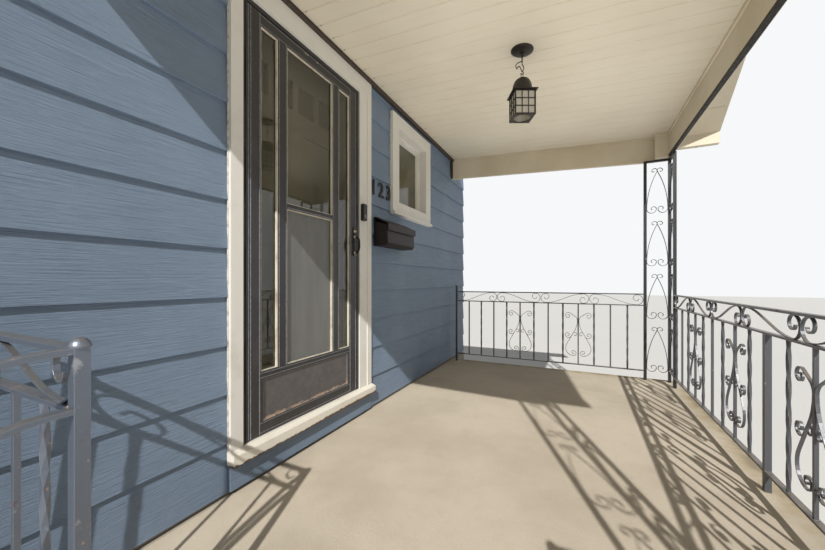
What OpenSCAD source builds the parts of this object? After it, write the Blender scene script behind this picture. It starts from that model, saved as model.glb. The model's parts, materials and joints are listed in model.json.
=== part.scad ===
// Front porch with its doors, window, ironwork and gabled roof, cut off at the house wall.
// X runs along the house wall, Y into the house, Z up from the ground.
// The origin is on the ground in the middle of the porch, below the face of the siding.

/* [Floor and steps] */
// Height of the porch floor above the ground
floor_h = 540; // [480:10:600]
// Width of the floor slab along the house
slab_w = 3650; // [3500:10:3800]
// Depth of the floor slab from the siding
slab_d = 2145; // [2050:5:2300]
// Thickness of the floor slab
slab_t = 120; // [90:5:160]
// How far the slab oversails its foundation
slab_lip = 30; // [10:5:50]
// Thickness of the foundation walls
foundation_t = 190; // [140:10:240]
// Number of risers up to the floor
risers = 3; // [2:1:4]
// Depth of one tread
tread_d = 280; // [250:5:320]
// Width of the flight of steps
steps_w = 1180; // [1100:10:1300]

/* [House wall] */
// Length of the house wall
wall_w = 4484; // [4300:4:4800]
// Thickness of the house wall behind the siding
wall_t = 150; // [120:5:200]
// Height of the house wall above the ceiling's edge
wall_over = 39; // [20:1:90]
// Visible height of one siding board
board_h = 206; // [150:1:250]
// How far the foot of a siding board stands out from its top
board_lap = 12; // [6:1:16]
// Depth of the siding in front of the wall
siding_t = 20; // [18:1:30]
// Gap between the porch floor and the lowest siding board
siding_gap = 20; // [10:1:40]

/* [Doors] */
// Where the storm door starts, from the middle of the porch
door_x = -1008; // [-1100:1:-900]
// Width of the doorway between its casings
door_w = 898; // [850:1:950]
// Height of the door sill above the porch floor
sill_h = 188; // [150:1:220]
// Height of the doorway above its sill
door_h = 1998; // [1950:1:2030]
// Width of the casing on the hinge side
casing_w = 60; // [50:1:75]
// Width of the casing on the latch side
latch_casing_w = 135; // [120:1:150]
// Height of the casing over the door
head_casing_h = 109; // [90:1:115]
// How far the casing stands out from the siding
casing_proud = 15; // [10:1:25]
// Thickness of the door jamb
jamb_t = 30; // [20:1:40]
// Width of the metal frame around the storm door
storm_frame_w = 20; // [15:1:25]
// Thickness of the storm door
storm_t = 28; // [24:1:34]
// Thickness of the entry door
entry_t = 44; // [35:1:50]
// Clearance around a door that moves
door_gap = 6.5; // [5:0.5:8]
// Height of the storm door's handle above the porch floor
handle_up = 1149; // [1050:1:1250]
// Height of the entry door's lock rail above its foot
lock_up = 960; // [900:5:1050]
// Height of the entry door's knob above its foot
knob_up = 950; // [880:5:1050]

/* [Window] */
// Where the window trim starts, from the middle of the porch
window_x = 329; // [250:1:400]
// Distance of the window trim's head below the ceiling
window_drop = 69; // [40:1:120]
// Width of the window trim
window_w = 760; // [700:1:850]
// Height of the window trim
window_h = 812; // [780:1:830]
// Width of one trim board
trim_w = 94; // [80:1:110]
// How far the trim stands out from the siding
trim_proud = 20; // [12:1:30]
// How far the sash lies behind the face of the siding
sash_y = 60; // [40:1:90]

/* [Mailbox and doorbell] */
// Where the mailbox starts, from the middle of the porch
mailbox_x = 80; // [60:1:120]
// Width of the mailbox
mailbox_w = 432; // [380:1:470]
// Height of the mailbox at its back
mailbox_h = 207; // [180:1:230]
// Depth of the mailbox
mailbox_d = 118; // [100:1:140]
// Distance of the mailbox's back edge below the window trim
mailbox_drop = 71; // [40:1:110]
// Thickness of the mailbox's sheet
sheet_t = 2; // [1.5:0.5:3]
// Width of the doorbell
bell_w = 46; // [40:1:60]
// Height of the doorbell
bell_h = 114; // [90:1:125]
// Height of the doorbell's foot above the porch floor
bell_z = 1320; // [1250:5:1400]

/* [Ceiling, beams and roof] */
// Distance from the door's head casing up to the ceiling
ceiling_over = 30; // [15:1:60]
// Slope of the ceiling down to the front, in degrees
ceiling_fall = 2.8; // [2:0.1:4]
// Pitch of the ceiling boards
ceiling_board = 110; // [80:1:140]
// Thickness of the ceiling boards
ceiling_t = 15; // [12:1:20]
// Depth of the front beam below the ceiling
front_beam_h = 186; // [150:1:240]
// Thickness of a side beam
side_beam_w = 36; // [30:1:60]
// How far the outer face of a side beam lies beyond the end railing
beam_reach = 66; // [50:1:80]
// Width of the box over a column, from the side beam's outer face
head_w = 129; // [110:1:150]
// Depth of the box over a column behind the front beam's middle
head_d = 117; // [90:1:150]
// Thickness of the front beam
front_beam_t = 38; // [30:1:60]
// Depth of the side beam below the ceiling
side_beam_h = 220; // [170:1:240]
// Pitch of the roof, in degrees
roof_pitch = 33.7; // [29:0.1:37]
// Thickness of the roof, measured upright
roof_t = 60; // [45:1:80]
// How far the roof oversails the side beams
eave_out = 60; // [40:5:150]
// Depth of the boxed eave below the roof's edge
eave_h = 169; // [120:1:190]
// How far the roof oversails the front gable
rake_out = 332; // [250:1:400]
// Depth of the boxed edge below the roof
rake_h = 110; // [80:1:150]

/* [Ironwork] */
// Distance between the railings at the two ends of the porch
rail_span = 3506; // [3420:2:3560]
// Distance of the front railing from the siding
rail_front = 2070; // [2000:1:2100]
// Height of the railings
rail_h = 796; // [760:1:850]
// Height of the open band of scrolls under the top rail
band_h = 94; // [80:1:105]
// Height of the bottom rail above the floor
bottom_rail_h = 82; // [60:1:110]
// Width of a post
post_w = 23; // [20:1:32]
// Width of a baluster
bar_w = 12; // [10:0.5:14]
// Distance between the balusters of the front railing
front_pitch = 170.2; // [160:0.1:180]
// Distance between the balusters of the end railings
end_pitch = 139; // [130:0.5:150]
// Distance between the posts of a column
column_leg = 185; // [160:1:220]
// Thickness of a scroll's strip
scroll_t = 4; // [3:0.5:5]
// Width of a scroll's strip
scroll_w = 11; // [8:0.5:12]

/* [Lantern] */
// Distance of the lantern from the middle of the porch
lantern_x = 69; // [-100:1:100]
// Distance of the lantern from the siding
lantern_y = 1034; // [900:1:1200]
// Turn of the lantern about its rod, in degrees
lantern_turn = 25.8; // [0:0.1:45]
// Width of the lantern's cage
cage_w = 120; // [100:1:140]
// Height of the lantern's cage
cage_h = 142; // [120:1:180]
// Diameter of the ceiling plate
canopy_d = 128; // [110:1:150]
// Radius of the scroll on the lantern's hook
hook_r = 21; // [18:0.5:26]

/* [Hidden] */
$fn = 48;
seat = 0.3;
arc_step = 22.5;

slab_half = slab_w / 2;
wall_half = wall_w / 2;
riser_h = floor_h / risers;
wall_y = siding_t;
wall_back = siding_t + wall_t;

door_end = door_x + door_w;
sill_z = floor_h + sill_h;
door_top = sill_z + door_h;
casing_start = door_x - casing_w;
casing_end = door_end + latch_casing_w;
casing_top = door_top + head_casing_h;
sill_t = 58;
sill_horn = 8;
sill_proud = casing_proud + 30;

ceiling_z = casing_top + ceiling_over;
wall_top = ceiling_z + wall_over;

window_end = window_x + window_w;
window_top = ceiling_z - window_drop;
window_foot = window_top - window_h;

rail_x = rail_span / 2;
front_y = -rail_front;
leg_y = front_y + column_leg;
leg_x = rail_x - column_leg;
post_half = post_w / 2;
wall_post_y = -71;
gate_w = 1091.5;
gate_near_y = -545.5;
gate_far_y = gate_near_y - gate_w;
steps_y = (gate_near_y + gate_far_y) / 2;

beam_foot = ceiling_at(front_y) - front_beam_h;
strip_h = 24;
column_top = beam_foot - strip_h;
beam_out = rail_x + beam_reach;
beam_in = beam_out - side_beam_w;
head_in = beam_out - head_w;
head_out = 10;
head_y = front_y + head_d;

function ceiling_at(y) = ceiling_z + y * tan(ceiling_fall);
function roof_under(x) = roof_seat + (beam_in - abs(x)) * tan(roof_pitch);
roof_gap = 10;
roof_seat = ceiling_z + ceiling_t + roof_gap;
gable_face = front_y - front_beam_t / 2 - siding_t;
roof_edge = beam_out + eave_out;
roof_front = gable_face - rake_out;
ridge_under = roof_under(0);

// A block between two corners
module block(a, b) {
    translate(a) cube(b - a);
}

// A shape drawn across the porch (X, Z) and pulled from y0 to y1
module across(y0, y1) {
    translate([0, y1, 0]) rotate([90, 0, 0]) linear_extrude(y1 - y0) children();
}

// A shape drawn along the depth (Y, Z) and pulled from x0 to x1
module along(x0, x1) {
    translate([x0, 0, 0]) rotate([90, 0, 90]) linear_extrude(x1 - x0) children();
}

// Floor and foundation

module porch_slab() {
    color("tan")
    block([-slab_half, -slab_d, floor_h - slab_t], [slab_half, 0, floor_h]);
}

module porch_foundation() {
    half = slab_half - slab_lip;
    depth = slab_d - slab_lip;
    color("lightgray")
    difference() {
        block([-half, -depth, 0], [half, 0, floor_h - slab_t]);
        block([-half + foundation_t, -depth + foundation_t, -1],
            [half - foundation_t, 1, floor_h - slab_t + 1]);
    }
}

module entry_steps() {
    color("tan")
    for (i = [1 : risers - 1])
        block([-slab_half - i * tread_d, steps_y - steps_w / 2, (risers - i - 1) * riser_h],
            [-slab_half, steps_y + steps_w / 2, (risers - i) * riser_h]);
}

module house_foundation() {
    ledge = 60;
    ledge_half = slab_half - slab_lip - foundation_t - seat;
    color("lightgray")
    union() {
        block([-wall_half, 0, 0], [wall_half, wall_back, floor_h]);
        block([-ledge_half, -ledge, 0], [ledge_half, 1, floor_h - slab_t]);
    }
}

// House wall

module wall_left() {
    color("wheat")
    block([-wall_half, wall_y, floor_h], [door_x - jamb_t, wall_back, wall_top]);
}

module wall_right() {
    color("wheat")
    difference() {
        block([door_end + jamb_t, wall_y, floor_h], [wall_half, wall_back, wall_top]);
        block([window_x + trim_w, 0, window_foot + trim_w],
            [window_end - trim_w, wall_back + 1, window_top - trim_w]);
    }
}

module wall_over_door() {
    color("wheat")
    block([door_x - jamb_t, wall_y, door_top + jamb_t], [door_end + jamb_t, wall_back, wall_top]);
}

module wall_under_door() {
    color("wheat")
    block([door_x - jamb_t, wall_y, floor_h], [door_end + jamb_t, wall_back, sill_z - sill_t]);
}

module house_gable() {
    peak = ridge_under + roof_t;
    half = beam_in + (roof_seat + roof_t - wall_top) / tan(roof_pitch);
    color("wheat")
    across(0, wall_back) polygon([[-half, wall_top], [half, wall_top], [0, peak]]);
}

// Lapped boards from z0 to z1, drawn as (Y, Z) outline
module lapped_profile(z0, z1, back) {
    n = ceil((z1 - z0) / board_h);
    teeth = [for (i = [0 : n - 1]) each [
        [0, z0 + i * board_h],
        [board_lap * (min(z1, z0 + (i + 1) * board_h) - z0 - i * board_h) / board_h,
            min(z1, z0 + (i + 1) * board_h)]]];
    polygon(concat(teeth, [[back, z1], [back, z0]]));
}

module siding_left() {
    color("slategray")
    along(-wall_half, casing_start)
        lapped_profile(floor_h + siding_gap, wall_top, siding_t);
}

module siding_right() {
    color("slategray")
    difference() {
        along(casing_end, wall_half)
            lapped_profile(floor_h + siding_gap, wall_top, siding_t);
        block([window_x, -1, window_foot], [window_end, siding_t + 1, window_top]);
    }
}

// Doorway

entry_hinge_x = door_x + door_gap / 2;
entry_hinge_r = 5;
entry_hinge_h = 90;
entry_leaf_t = 2;
entry_leaf_w = 24;
entry_hinge_zs = [sill_z + 180, sill_z + door_h / 2, door_top - 180];

// The knuckles of the entry door's three hinges: two outer ones on the jamb, a middle one on the door
module entry_hinges(on_door) {
    part = entry_hinge_h / 3;
    x = on_door ? entry_hinge_x : entry_hinge_x - door_gap / 2 - entry_leaf_w;
    for (z = entry_hinge_zs, i = on_door ? [0] : [-1, 1])
        translate([0, 0, z + i * part - part / 2 + seat / 2]) {
            translate([entry_hinge_x, wall_back + entry_hinge_r, 0])
                cylinder(h = part - seat, r = entry_hinge_r);
            translate([x, wall_back - 1, 0])
                cube([door_gap / 2 + entry_leaf_w, entry_leaf_t + 1, part - seat]);
        }
}

band_t = 5;
casing_face = band_t - casing_proud;

module door_casing() {
    band_w = 50;
    color("ivory")
    difference() {
        block([casing_start, -casing_proud, sill_z], [casing_end, wall_y, casing_top]);
        block([door_x, -casing_proud - 1, sill_z - 1], [door_end, wall_y + 1, door_top]);
        block([door_end - 1, -casing_proud - 1, sill_z - 1],
            [casing_end - band_w, casing_face, door_top]);
    }
}

module door_jamb() {
    stop_w = 12;
    stop_y = wall_back - entry_t - door_gap;
    color("goldenrod") entry_hinges(false);
    color("ivory")
    difference() {
        block([door_x - jamb_t, wall_y, sill_z], [door_end + jamb_t, wall_back, door_top + jamb_t]);
        block([door_x + stop_w, wall_y - 1, sill_z - 1],
            [door_end - stop_w, wall_back + 1, door_top - stop_w]);
        block([door_x, wall_y - 1, sill_z - 1], [door_end, stop_y - 40, door_top]);
        block([door_x, stop_y, sill_z - 1], [door_end, wall_back + 1, door_top]);
    }
}

module door_sill() {
    nose = 12;
    color("ivory")
    along(casing_start - sill_horn, casing_end + sill_horn)
        polygon([[-sill_proud, sill_z - sill_t], [-seat, sill_z - sill_t],
            [-seat, sill_z], [-casing_proud, sill_z], [-sill_proud, sill_z - nose]]);
    color("ivory")
    block([casing_start, -seat - 1, sill_z - sill_t], [casing_end, wall_y, sill_z]);
    color("ivory")
    block([door_x - jamb_t, wall_y, sill_z - sill_t], [door_end + jamb_t, wall_back, sill_z]);
}

module riser_board() {
    color("slategray")
    block([casing_start, -board_lap, floor_h + siding_gap],
        [casing_end, siding_t, sill_z - sill_t]);
}

// Storm door

storm_y = 0;
storm_x = door_x + storm_frame_w + door_gap;
storm_end = door_end - storm_frame_w - door_gap;
storm_foot = sill_z + door_gap;
storm_top = door_top - storm_frame_w - door_gap;
lite_side = 78;
lite_mullion = 60;
kick_top_rail = 38;
kick_h = 197;
kick_foot = sill_z + 66;
lite_foot = kick_foot + kick_h + kick_top_rail;
lite_top = storm_top - 58;
lite_left_w = 102;
lite_right_w = 108;
lite_left = storm_x + lite_side;
lite_right = storm_end - lite_side;
mid_left = lite_left + lite_left_w + lite_mullion;
mid_right = lite_right - lite_right_w - lite_mullion;
screen_h = 789;
mid_bar_z = lite_foot + screen_h;
mid_bar_h = 28;
glass_t = 4;
hinge_x = storm_x - door_gap / 2;
hinge_r = 3;
leaf_t = 1.5;
leaf_w = 11;
knuckles = 9;

// Every second knuckle of the storm door's long hinge, on the side of its leaf
module storm_hinge(first, side) {
    pitch = (storm_top - storm_foot) / knuckles;
    for (i = [first : 2 : knuckles - 1]) {
        z = storm_foot + i * pitch;
        translate([hinge_x, -hinge_r, z + seat / 2]) cylinder(h = pitch - seat, r = hinge_r);
        translate([side > 0 ? hinge_x : hinge_x - door_gap / 2 - leaf_w, -leaf_t, z + seat / 2])
            cube([door_gap / 2 + leaf_w, leaf_t + 1, pitch - seat]);
    }
}

module storm_frame() {
    color("dimgray") storm_hinge(0, -1);
    color("dimgray")
    difference() {
        block([door_x, 0, sill_z], [door_end, storm_y + storm_t, door_top]);
        block([door_x + storm_frame_w, -1, sill_z - 1],
            [door_end - storm_frame_w, storm_y + storm_t + 1, door_top - storm_frame_w]);
    }
}

module storm_door() {
    back = storm_y + storm_t;
    color("dimgray") storm_hinge(1, 1);
    color("dimgray")
    difference() {
        block([storm_x, storm_y, storm_foot], [storm_end, back, storm_top]);
        block([lite_left, -1, lite_foot], [lite_left + lite_left_w, back + 1, lite_top]);
        block([lite_right - lite_right_w, -1, lite_foot], [lite_right, back + 1, lite_top]);
        block([mid_left, -1, lite_foot], [mid_right, back + 1, mid_bar_z]);
        block([mid_left, -1, mid_bar_z + mid_bar_h], [mid_right, back + 1, lite_top]);
        block([lite_left + 14, -1, kick_foot], [lite_right - 14, storm_y + 10, kick_foot + kick_h]);
    }
}

module pane(x0, x1, z0, z1, y) {
    block([x0, y, z0], [x1, y + glass_t, z1]);
}

module storm_glass() {
    y = storm_y + storm_t / 2;
    color("lightblue", 0.4) {
        pane(lite_left, lite_left + lite_left_w, lite_foot, lite_top, y);
        pane(lite_right - lite_right_w, lite_right, lite_foot, lite_top, y);
        pane(mid_left, mid_right, mid_bar_z + mid_bar_h, lite_top, y);
    }
}

module storm_screen() {
    frame_w = 12;
    y = storm_y + storm_t / 2;
    color("gray")
    difference() {
        block([mid_left, y, lite_foot], [mid_right, y + 8, mid_bar_z]);
        block([mid_left + frame_w, y - 1, lite_foot + frame_w],
            [mid_right - frame_w, y + 3, mid_bar_z - frame_w]);
        block([mid_left + frame_w, y + 5, lite_foot + frame_w],
            [mid_right - frame_w, y + 9, mid_bar_z - frame_w]);
    }
}

handle_x = storm_end - 28;
handle_z = floor_h + handle_up;
handle_h = 118;

module storm_handle() {
    reach = 42;
    rod = 10;
    color("black") {
        block([handle_x - 14, storm_y - 6, handle_z - handle_h / 2 - 14],
            [handle_x + 14, storm_y, handle_z + handle_h / 2 + 60]);
        for (s = [-1, 1])
            translate([handle_x, storm_y - 5, handle_z + s * (handle_h / 2 - 1.3 * rod)])
                rotate([90, 0, 0]) cylinder(h = reach - 5, d = rod);
        translate([handle_x, storm_y - reach, handle_z - handle_h / 2])
            cylinder(h = handle_h, d = rod + 4);
        translate([handle_x, storm_y - 5, handle_z + handle_h / 2 + 35])
            rotate([90, 0, 0]) cylinder(h = 7, d = 20);
    }
}

// Entry door

entry_y = wall_back - entry_t;
entry_x = door_x + door_gap;
entry_end = door_end - door_gap;
entry_foot = sill_z + door_gap;
entry_top = door_top - door_gap;
entry_lites = 4;
entry_lite_w = 130;
entry_lite_h = 160;
entry_head_h = 139.5;
entry_lite_z = entry_top - entry_lite_h - entry_head_h;
entry_lite_pitch = 172;

module entry_lite_boxes(y0, y1, grow) {
    mid = (entry_x + entry_end) / 2;
    for (i = [0 : entry_lites - 1]) {
        x = mid + (i - (entry_lites - 1) / 2) * entry_lite_pitch;
        block([x - entry_lite_w / 2 - grow, y0, entry_lite_z - grow],
            [x + entry_lite_w / 2 + grow, y1, entry_lite_z + entry_lite_h + grow]);
    }
}

module entry_door() {
    stile = 120;
    kick = 250;
    panel_cut = 8;
    lock_z = entry_foot + lock_up;
    color("goldenrod") entry_hinges(true);
    color("ivory")
    difference() {
        block([entry_x, entry_y, entry_foot], [entry_end, wall_back, entry_top]);
        entry_lite_boxes(entry_y - 1, wall_back + 1, 0);
        for (row = [[entry_foot + kick, lock_z - stile / 2], [lock_z + stile / 2, entry_lite_z - stile]],
            col = [0, 1]) {
            w = (entry_end - entry_x - 3 * stile) / 2;
            x = entry_x + stile + col * (w + stile);
            block([x, entry_y - 1, row[0]], [x + w, entry_y + panel_cut, row[1]]);
            block([x, wall_back - panel_cut, row[0]], [x + w, wall_back + 1, row[1]]);
        }
    }
}

module entry_glass() {
    y = entry_y + entry_t / 2;
    color("lightblue", 0.4) entry_lite_boxes(y, y + glass_t, 0);
}

knob_x = entry_end - 65;
knob_z = entry_foot + knob_up;

module entry_knob() {
    rose_d = 62;
    rose_t = 6;
    stem_d = 20;
    ball_d = 46;
    reach = 34;
    color("goldenrod")
    for (side = [0, 1]) {
        face = side == 0 ? entry_y : wall_back;
        translate([knob_x, face, knob_z]) rotate([side == 0 ? 90 : -90, 0, 0]) {
            cylinder(h = rose_t, d = rose_d);
            cylinder(h = reach, d = stem_d);
            translate([0, 0, reach]) sphere(d = ball_d);
        }
    }
}

// Window

module window_trim() {
    nose = 18;
    horn = 1;
    color("ivory") window_ring(0, trim_w, -trim_proud, wall_y);
    color("ivory")
    along(window_x - horn, window_end + horn)
        polygon([[-trim_proud - nose, window_foot + 22], [-trim_proud, window_foot + 30],
            [-trim_proud, window_foot], [-trim_proud - nose, window_foot]]);
}

lining_t = 12;
sash_w = 38;
sash_t = 34;

// A ring as wide as the given width, set in from the window's edge and between two depths
module window_ring(inset, w, y0, y1) {
    difference() {
        block([window_x + inset, y0, window_foot + inset], [window_end - inset, y1, window_top - inset]);
        block([window_x + inset + w, y0 - 1, window_foot + inset + w],
            [window_end - inset - w, y1 + 1, window_top - inset - w]);
    }
}

module window_sash() {
    color("white") window_ring(trim_w, lining_t, -trim_proud, wall_back);
    color("white") window_ring(trim_w + lining_t, sash_w, sash_y, sash_y + sash_t);
}

module window_glass() {
    edge = trim_w + lining_t + sash_w;
    color("lightblue", 0.4)
    pane(window_x + edge, window_end - edge, window_foot + edge, window_top - edge,
        sash_y + (sash_t - glass_t) / 2);
}

// Mailbox and doorbell

box_foot = window_foot - mailbox_drop - mailbox_h;
box_rim = box_foot + mailbox_h - 30;
box_front_rim = box_rim - 28;
lid_pin_r = 3;
lid_pin_z = box_foot + mailbox_h;
lid_pin_y = -12;
lid_ear_w = 60;

module mailbox_body() {
    color("saddlebrown")
    for (x = [mailbox_x, mailbox_x + mailbox_w - lid_ear_w]) {
        translate([x, lid_pin_y, lid_pin_z]) rotate([0, 90, 0]) cylinder(h = lid_ear_w, r = lid_pin_r);
        block([x, lid_pin_y, lid_pin_z - lid_pin_r], [x + lid_ear_w, -seat, lid_pin_z]);
    }
    color("saddlebrown")
    difference() {
        along(mailbox_x, mailbox_x + mailbox_w)
            polygon([[-seat, box_foot], [-seat, lid_pin_z], [-6, lid_pin_z],
                [-6, box_rim], [-mailbox_d + 6, box_front_rim], [-mailbox_d, box_foot + 20],
                [-mailbox_d + 20, box_foot]]);
        along(mailbox_x + sheet_t, mailbox_x + mailbox_w - sheet_t)
            polygon([[-6, box_foot + sheet_t], [-6, box_rim + 1], [-mailbox_d + 6 + sheet_t, box_rim + 1],
                [-mailbox_d + sheet_t, box_foot + 21],
                [-mailbox_d + 21, box_foot + sheet_t]]);
    }
}

module mailbox_lid() {
    over = door_gap;
    back = lid_pin_y - lid_pin_r - 2;
    color("saddlebrown")
    along(mailbox_x - over - sheet_t, mailbox_x + mailbox_w + over + sheet_t)
        polygon([[back, lid_pin_z + sheet_t], [back, lid_pin_z],
            [-mailbox_d - over, box_front_rim + 4], [-mailbox_d - over, box_front_rim - 40],
            [-mailbox_d - over - sheet_t, box_front_rim - 40],
            [-mailbox_d - over - sheet_t, box_front_rim + 8]]);
    color("saddlebrown")
    translate([mailbox_x + lid_ear_w + seat, lid_pin_y, lid_pin_z]) {
        rotate([0, 90, 0]) cylinder(h = mailbox_w - 2 * (lid_ear_w + seat), r = lid_pin_r);
        translate([0, back - lid_pin_y - 1, 0])
            cube([mailbox_w - 2 * (lid_ear_w + seat), lid_pin_y - back + 1, sheet_t]);
    }
}

module doorbell() {
    bell_t = 25;
    x = door_end + 10;
    z = floor_h + bell_z;
    color("black")
    block([x, casing_face - bell_t, z], [x + bell_w, casing_face, z + bell_h]);
}

// Ceiling and beams

module porch_ceiling() {
    half = beam_in - seat;
    depth = rail_front - front_beam_t / 2 - 1;
    n = floor(half / ceiling_board);
    groove = 5;
    edge = 12;
    notches = [for (i = [-n : n]) each [
        [i * ceiling_board - groove, 0], [i * ceiling_board, groove], [i * ceiling_board + groove, 0]]];
    color("ivory")
    difference() {
        translate([0, -edge, ceiling_at(-edge)])
            rotate([ceiling_fall, 0, 0])
                across(-depth + edge, 0)
                    polygon(concat([[-half, 0]], notches,
                        [[half, 0], [half, ceiling_t], [-half, ceiling_t]]));
        for (side = [0, 1])
            mirror([side, 0, 0])
                block([head_in - seat, front_y, floor_h], [beam_in, head_y + seat, roof_seat + roof_gap]);
    }
}

module front_beam() {
    color("ivory")
    across(front_y - front_beam_t / 2, front_y + front_beam_t / 2)
        polygon([[-head_in, beam_foot], [head_in, beam_foot],
            [head_in, ceiling_at(front_y)], [-head_in, ceiling_at(front_y)]]);
}

module beam_strip() {
    strip_w = 20;
    inner_y = front_y + front_beam_t / 2;
    color("black")
    block([-head_in, inner_y - strip_w, column_top], [head_in, inner_y, beam_foot]);
}

// The side beam's outline along the depth, between two levels below the ceiling
module side_beam_side(y, top, foot) {
    polygon([[0, ceiling_z - foot], [0, ceiling_z - top],
        [y, ceiling_at(y) - top], [y, ceiling_at(y) - foot]]);
}

module side_beam(side) {
    casing_d = 120;
    casing_t = 10;
    casing_over = 8;
    above = roof_under(beam_in) - ceiling_z;
    color("ivory")
    mirror([side > 0 ? 0 : 1, 0, 0]) {
        intersection() {
            along(beam_in, beam_out) side_beam_side(head_y, -above, side_beam_h);
            across(head_y - 1, 1) under_roof(1, beam_in - 1, beam_out + 1, floor_h);
        }
        along(beam_in - casing_t, beam_out) side_beam_side(-casing_d, seat, side_beam_h + casing_over);
    }
}

// The space below the roof between two distances from the middle, drawn as (X, Z)
module under_roof(side, x0, x1, foot) {
    polygon([[side * x0, foot], [side * x1, foot], [side * x1, roof_under(x1) - seat],
        [side * x0, roof_under(x0) - seat]]);
}

module far_beam() {
    side_beam(1);
}

module near_beam() {
    side_beam(-1);
}

module beam_heads() {
    color("ivory")
    for (side = [-1, 1])
        across(front_y - front_beam_t / 2 - head_out, head_y)
            under_roof(side, head_in, beam_out + head_out, column_top);
}

module front_gable() {
    foot = ceiling_at(front_y);
    back = front_y + front_beam_t / 2;
    reach = head_in;
    side_z = roof_under(reach);
    color("slategray")
    intersection() {
        across(gable_face, back)
            polygon([[-reach, foot], [reach, foot], [reach, side_z], [0, ridge_under], [-reach, side_z]]);
        along(-reach - 1, reach + 1)
            translate([gable_face, 0])
                lapped_profile(foot - 1, ridge_under + 1, front_beam_t + siding_t);
    }
}

// Roof

module roof_slope(side) {
    color("darkslategray")
    across(roof_front, -seat)
        polygon([[0, ridge_under], [0, ridge_under + roof_t],
            [side * roof_edge, roof_under(roof_edge) + roof_t], [side * roof_edge, roof_under(roof_edge)]]);
}

module roof_far() {
    roof_slope(1);
}

module roof_near() {
    roof_slope(-1);
}

rake_board = 20;
rake_start = beam_out;

module rake_boxes() {
    soffit_t = 12;
    for (side = [-1, 1]) {
        color("ivory")
        across(roof_front, roof_front + rake_board)
            polygon([[0, ridge_under - rake_h], [0, ridge_under],
                [side * rake_start, roof_under(rake_start)],
                [side * rake_start, roof_under(rake_start) - rake_h]]);
        color("ivory")
        across(roof_front + rake_board, gable_face)
            polygon([[0, ridge_under - rake_h], [0, ridge_under - rake_h + soffit_t],
                [side * rake_start, roof_under(rake_start) - rake_h + soffit_t],
                [side * rake_start, roof_under(rake_start) - rake_h]]);
    }
}

eave_foot = roof_under(roof_edge) - eave_h;

module eave_boxes() {
    color("ivory")
    for (side = [-1, 1]) {
        across(gable_face, -seat)
            under_roof(side, beam_out + head_out, roof_edge, eave_foot);
        across(roof_front, gable_face)
            under_roof(side, rake_start, roof_edge, eave_foot);
    }
}

// Lantern

canopy_z = ceiling_at(-lantern_y);
canopy_h = 18;
neck_h = 30;
neck_d = 18;
hook_wire = 5;
pin_d = hook_wire + 0.6;
ring_r = 15.5;
ring_wire = 3;
rod_h = 60;
swing_z = canopy_z - rod_h - 4 * hook_r;
ring_z = swing_z - ring_r + (pin_d + ring_wire) / 2 + seat;
dome_h = 87;
dome_r = 58;
dome_bulge = 0.6;
dome_z = ring_z - ring_r - dome_h;
plate_t = 5;
cage_top = dome_z - plate_t;
cage_bar = 7;
cage_rod = 4;

module at_lantern() {
    translate([lantern_x, -lantern_y, 0]) rotate([0, 0, lantern_turn]) children();
}

// A dome with its rim at z = 0. Its side is a quarter of an ellipse, pressed outward by a bulge below 1
module dome(r, h, crown_r, bulge) {
    rotate_extrude()
        polygon(concat([[0, 0]],
            [for (a = [0 : 15 : 75]) [crown_r + (r - crown_r) * pow(cos(a), bulge), h * sin(a)]],
            [[crown_r, h], [0, h]]));
}

function polar(r, a) = r * [cos(a), sin(a)];

// A round wire bent about c with radius r, from one angle on by a turn, in the upright plane of x
module bent_wire(c, r, from, turn, d = hook_wire) {
    translate([c[0], 0, c[1]]) rotate([90, 0, 0]) rotate([0, 0, from])
        rotate_extrude(angle = turn) translate([r, 0]) circle(d = d);
}

// The hook below the end of the rod: a wire down to the bend that holds the ring, and a scroll beside it
module lantern_hook() {
    bend_r = 8;
    bend = [0, bend_r - 4 * hook_r];
    stem_r = (bend_r * bend_r + bend[1] * bend[1]) / (2 * bend_r);
    small_r = hook_r * 0.3;
    hump_r = hook_r * 0.42;
    tail_r = 60;
    over = [-0.8 * hook_r, -hook_r];
    curl = over + polar(hook_r - small_r, 235);
    hump = curl + polar(small_r + hump_r, 20);
    tail = hump + polar(hump_r - tail_r, 30);
    bent_wire(bend, bend_r, 150, 220, hook_wire - 0.4);
    bent_wire([bend_r - stem_r, bend[1]], stem_r, 0, asin(-bend[1] / stem_r));
    bent_wire(over, hook_r, 36, 199);
    bent_wire(curl, small_r, 235, 145);
    bent_wire(hump, hump_r, 30, 170);
    bent_wire(tail, tail_r, 5, 25);
}

module lantern_canopy() {
    flange_t = 4;
    rod_d = hook_wire + 1.5;
    color("black")
    translate([lantern_x, -lantern_y, canopy_z]) rotate([ceiling_fall, 0, 0])
        translate([0, 0, -flange_t - seat]) {
            cylinder(h = flange_t, d = canopy_d);
            translate([0, 0, 1]) mirror([0, 0, 1]) dome(canopy_d / 2 - 3, canopy_h - flange_t, neck_d / 2, 1);
        }
    color("black")
    at_lantern() rotate([0, 0, 45]) {
        translate([0, 0, canopy_z - canopy_h - neck_h])
            cylinder(h = neck_h + 3, d1 = rod_d + 2, d2 = neck_d);
        translate([0, 0, canopy_z - rod_h - 2]) cylinder(h = rod_h - canopy_h, d = rod_d);
        translate([0, 0, canopy_z - rod_h]) lantern_hook();
        translate([-pin_d / 2, 0, swing_z]) rotate([0, 90, 0]) cylinder(h = pin_d, d = pin_d);
    }
}

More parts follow.
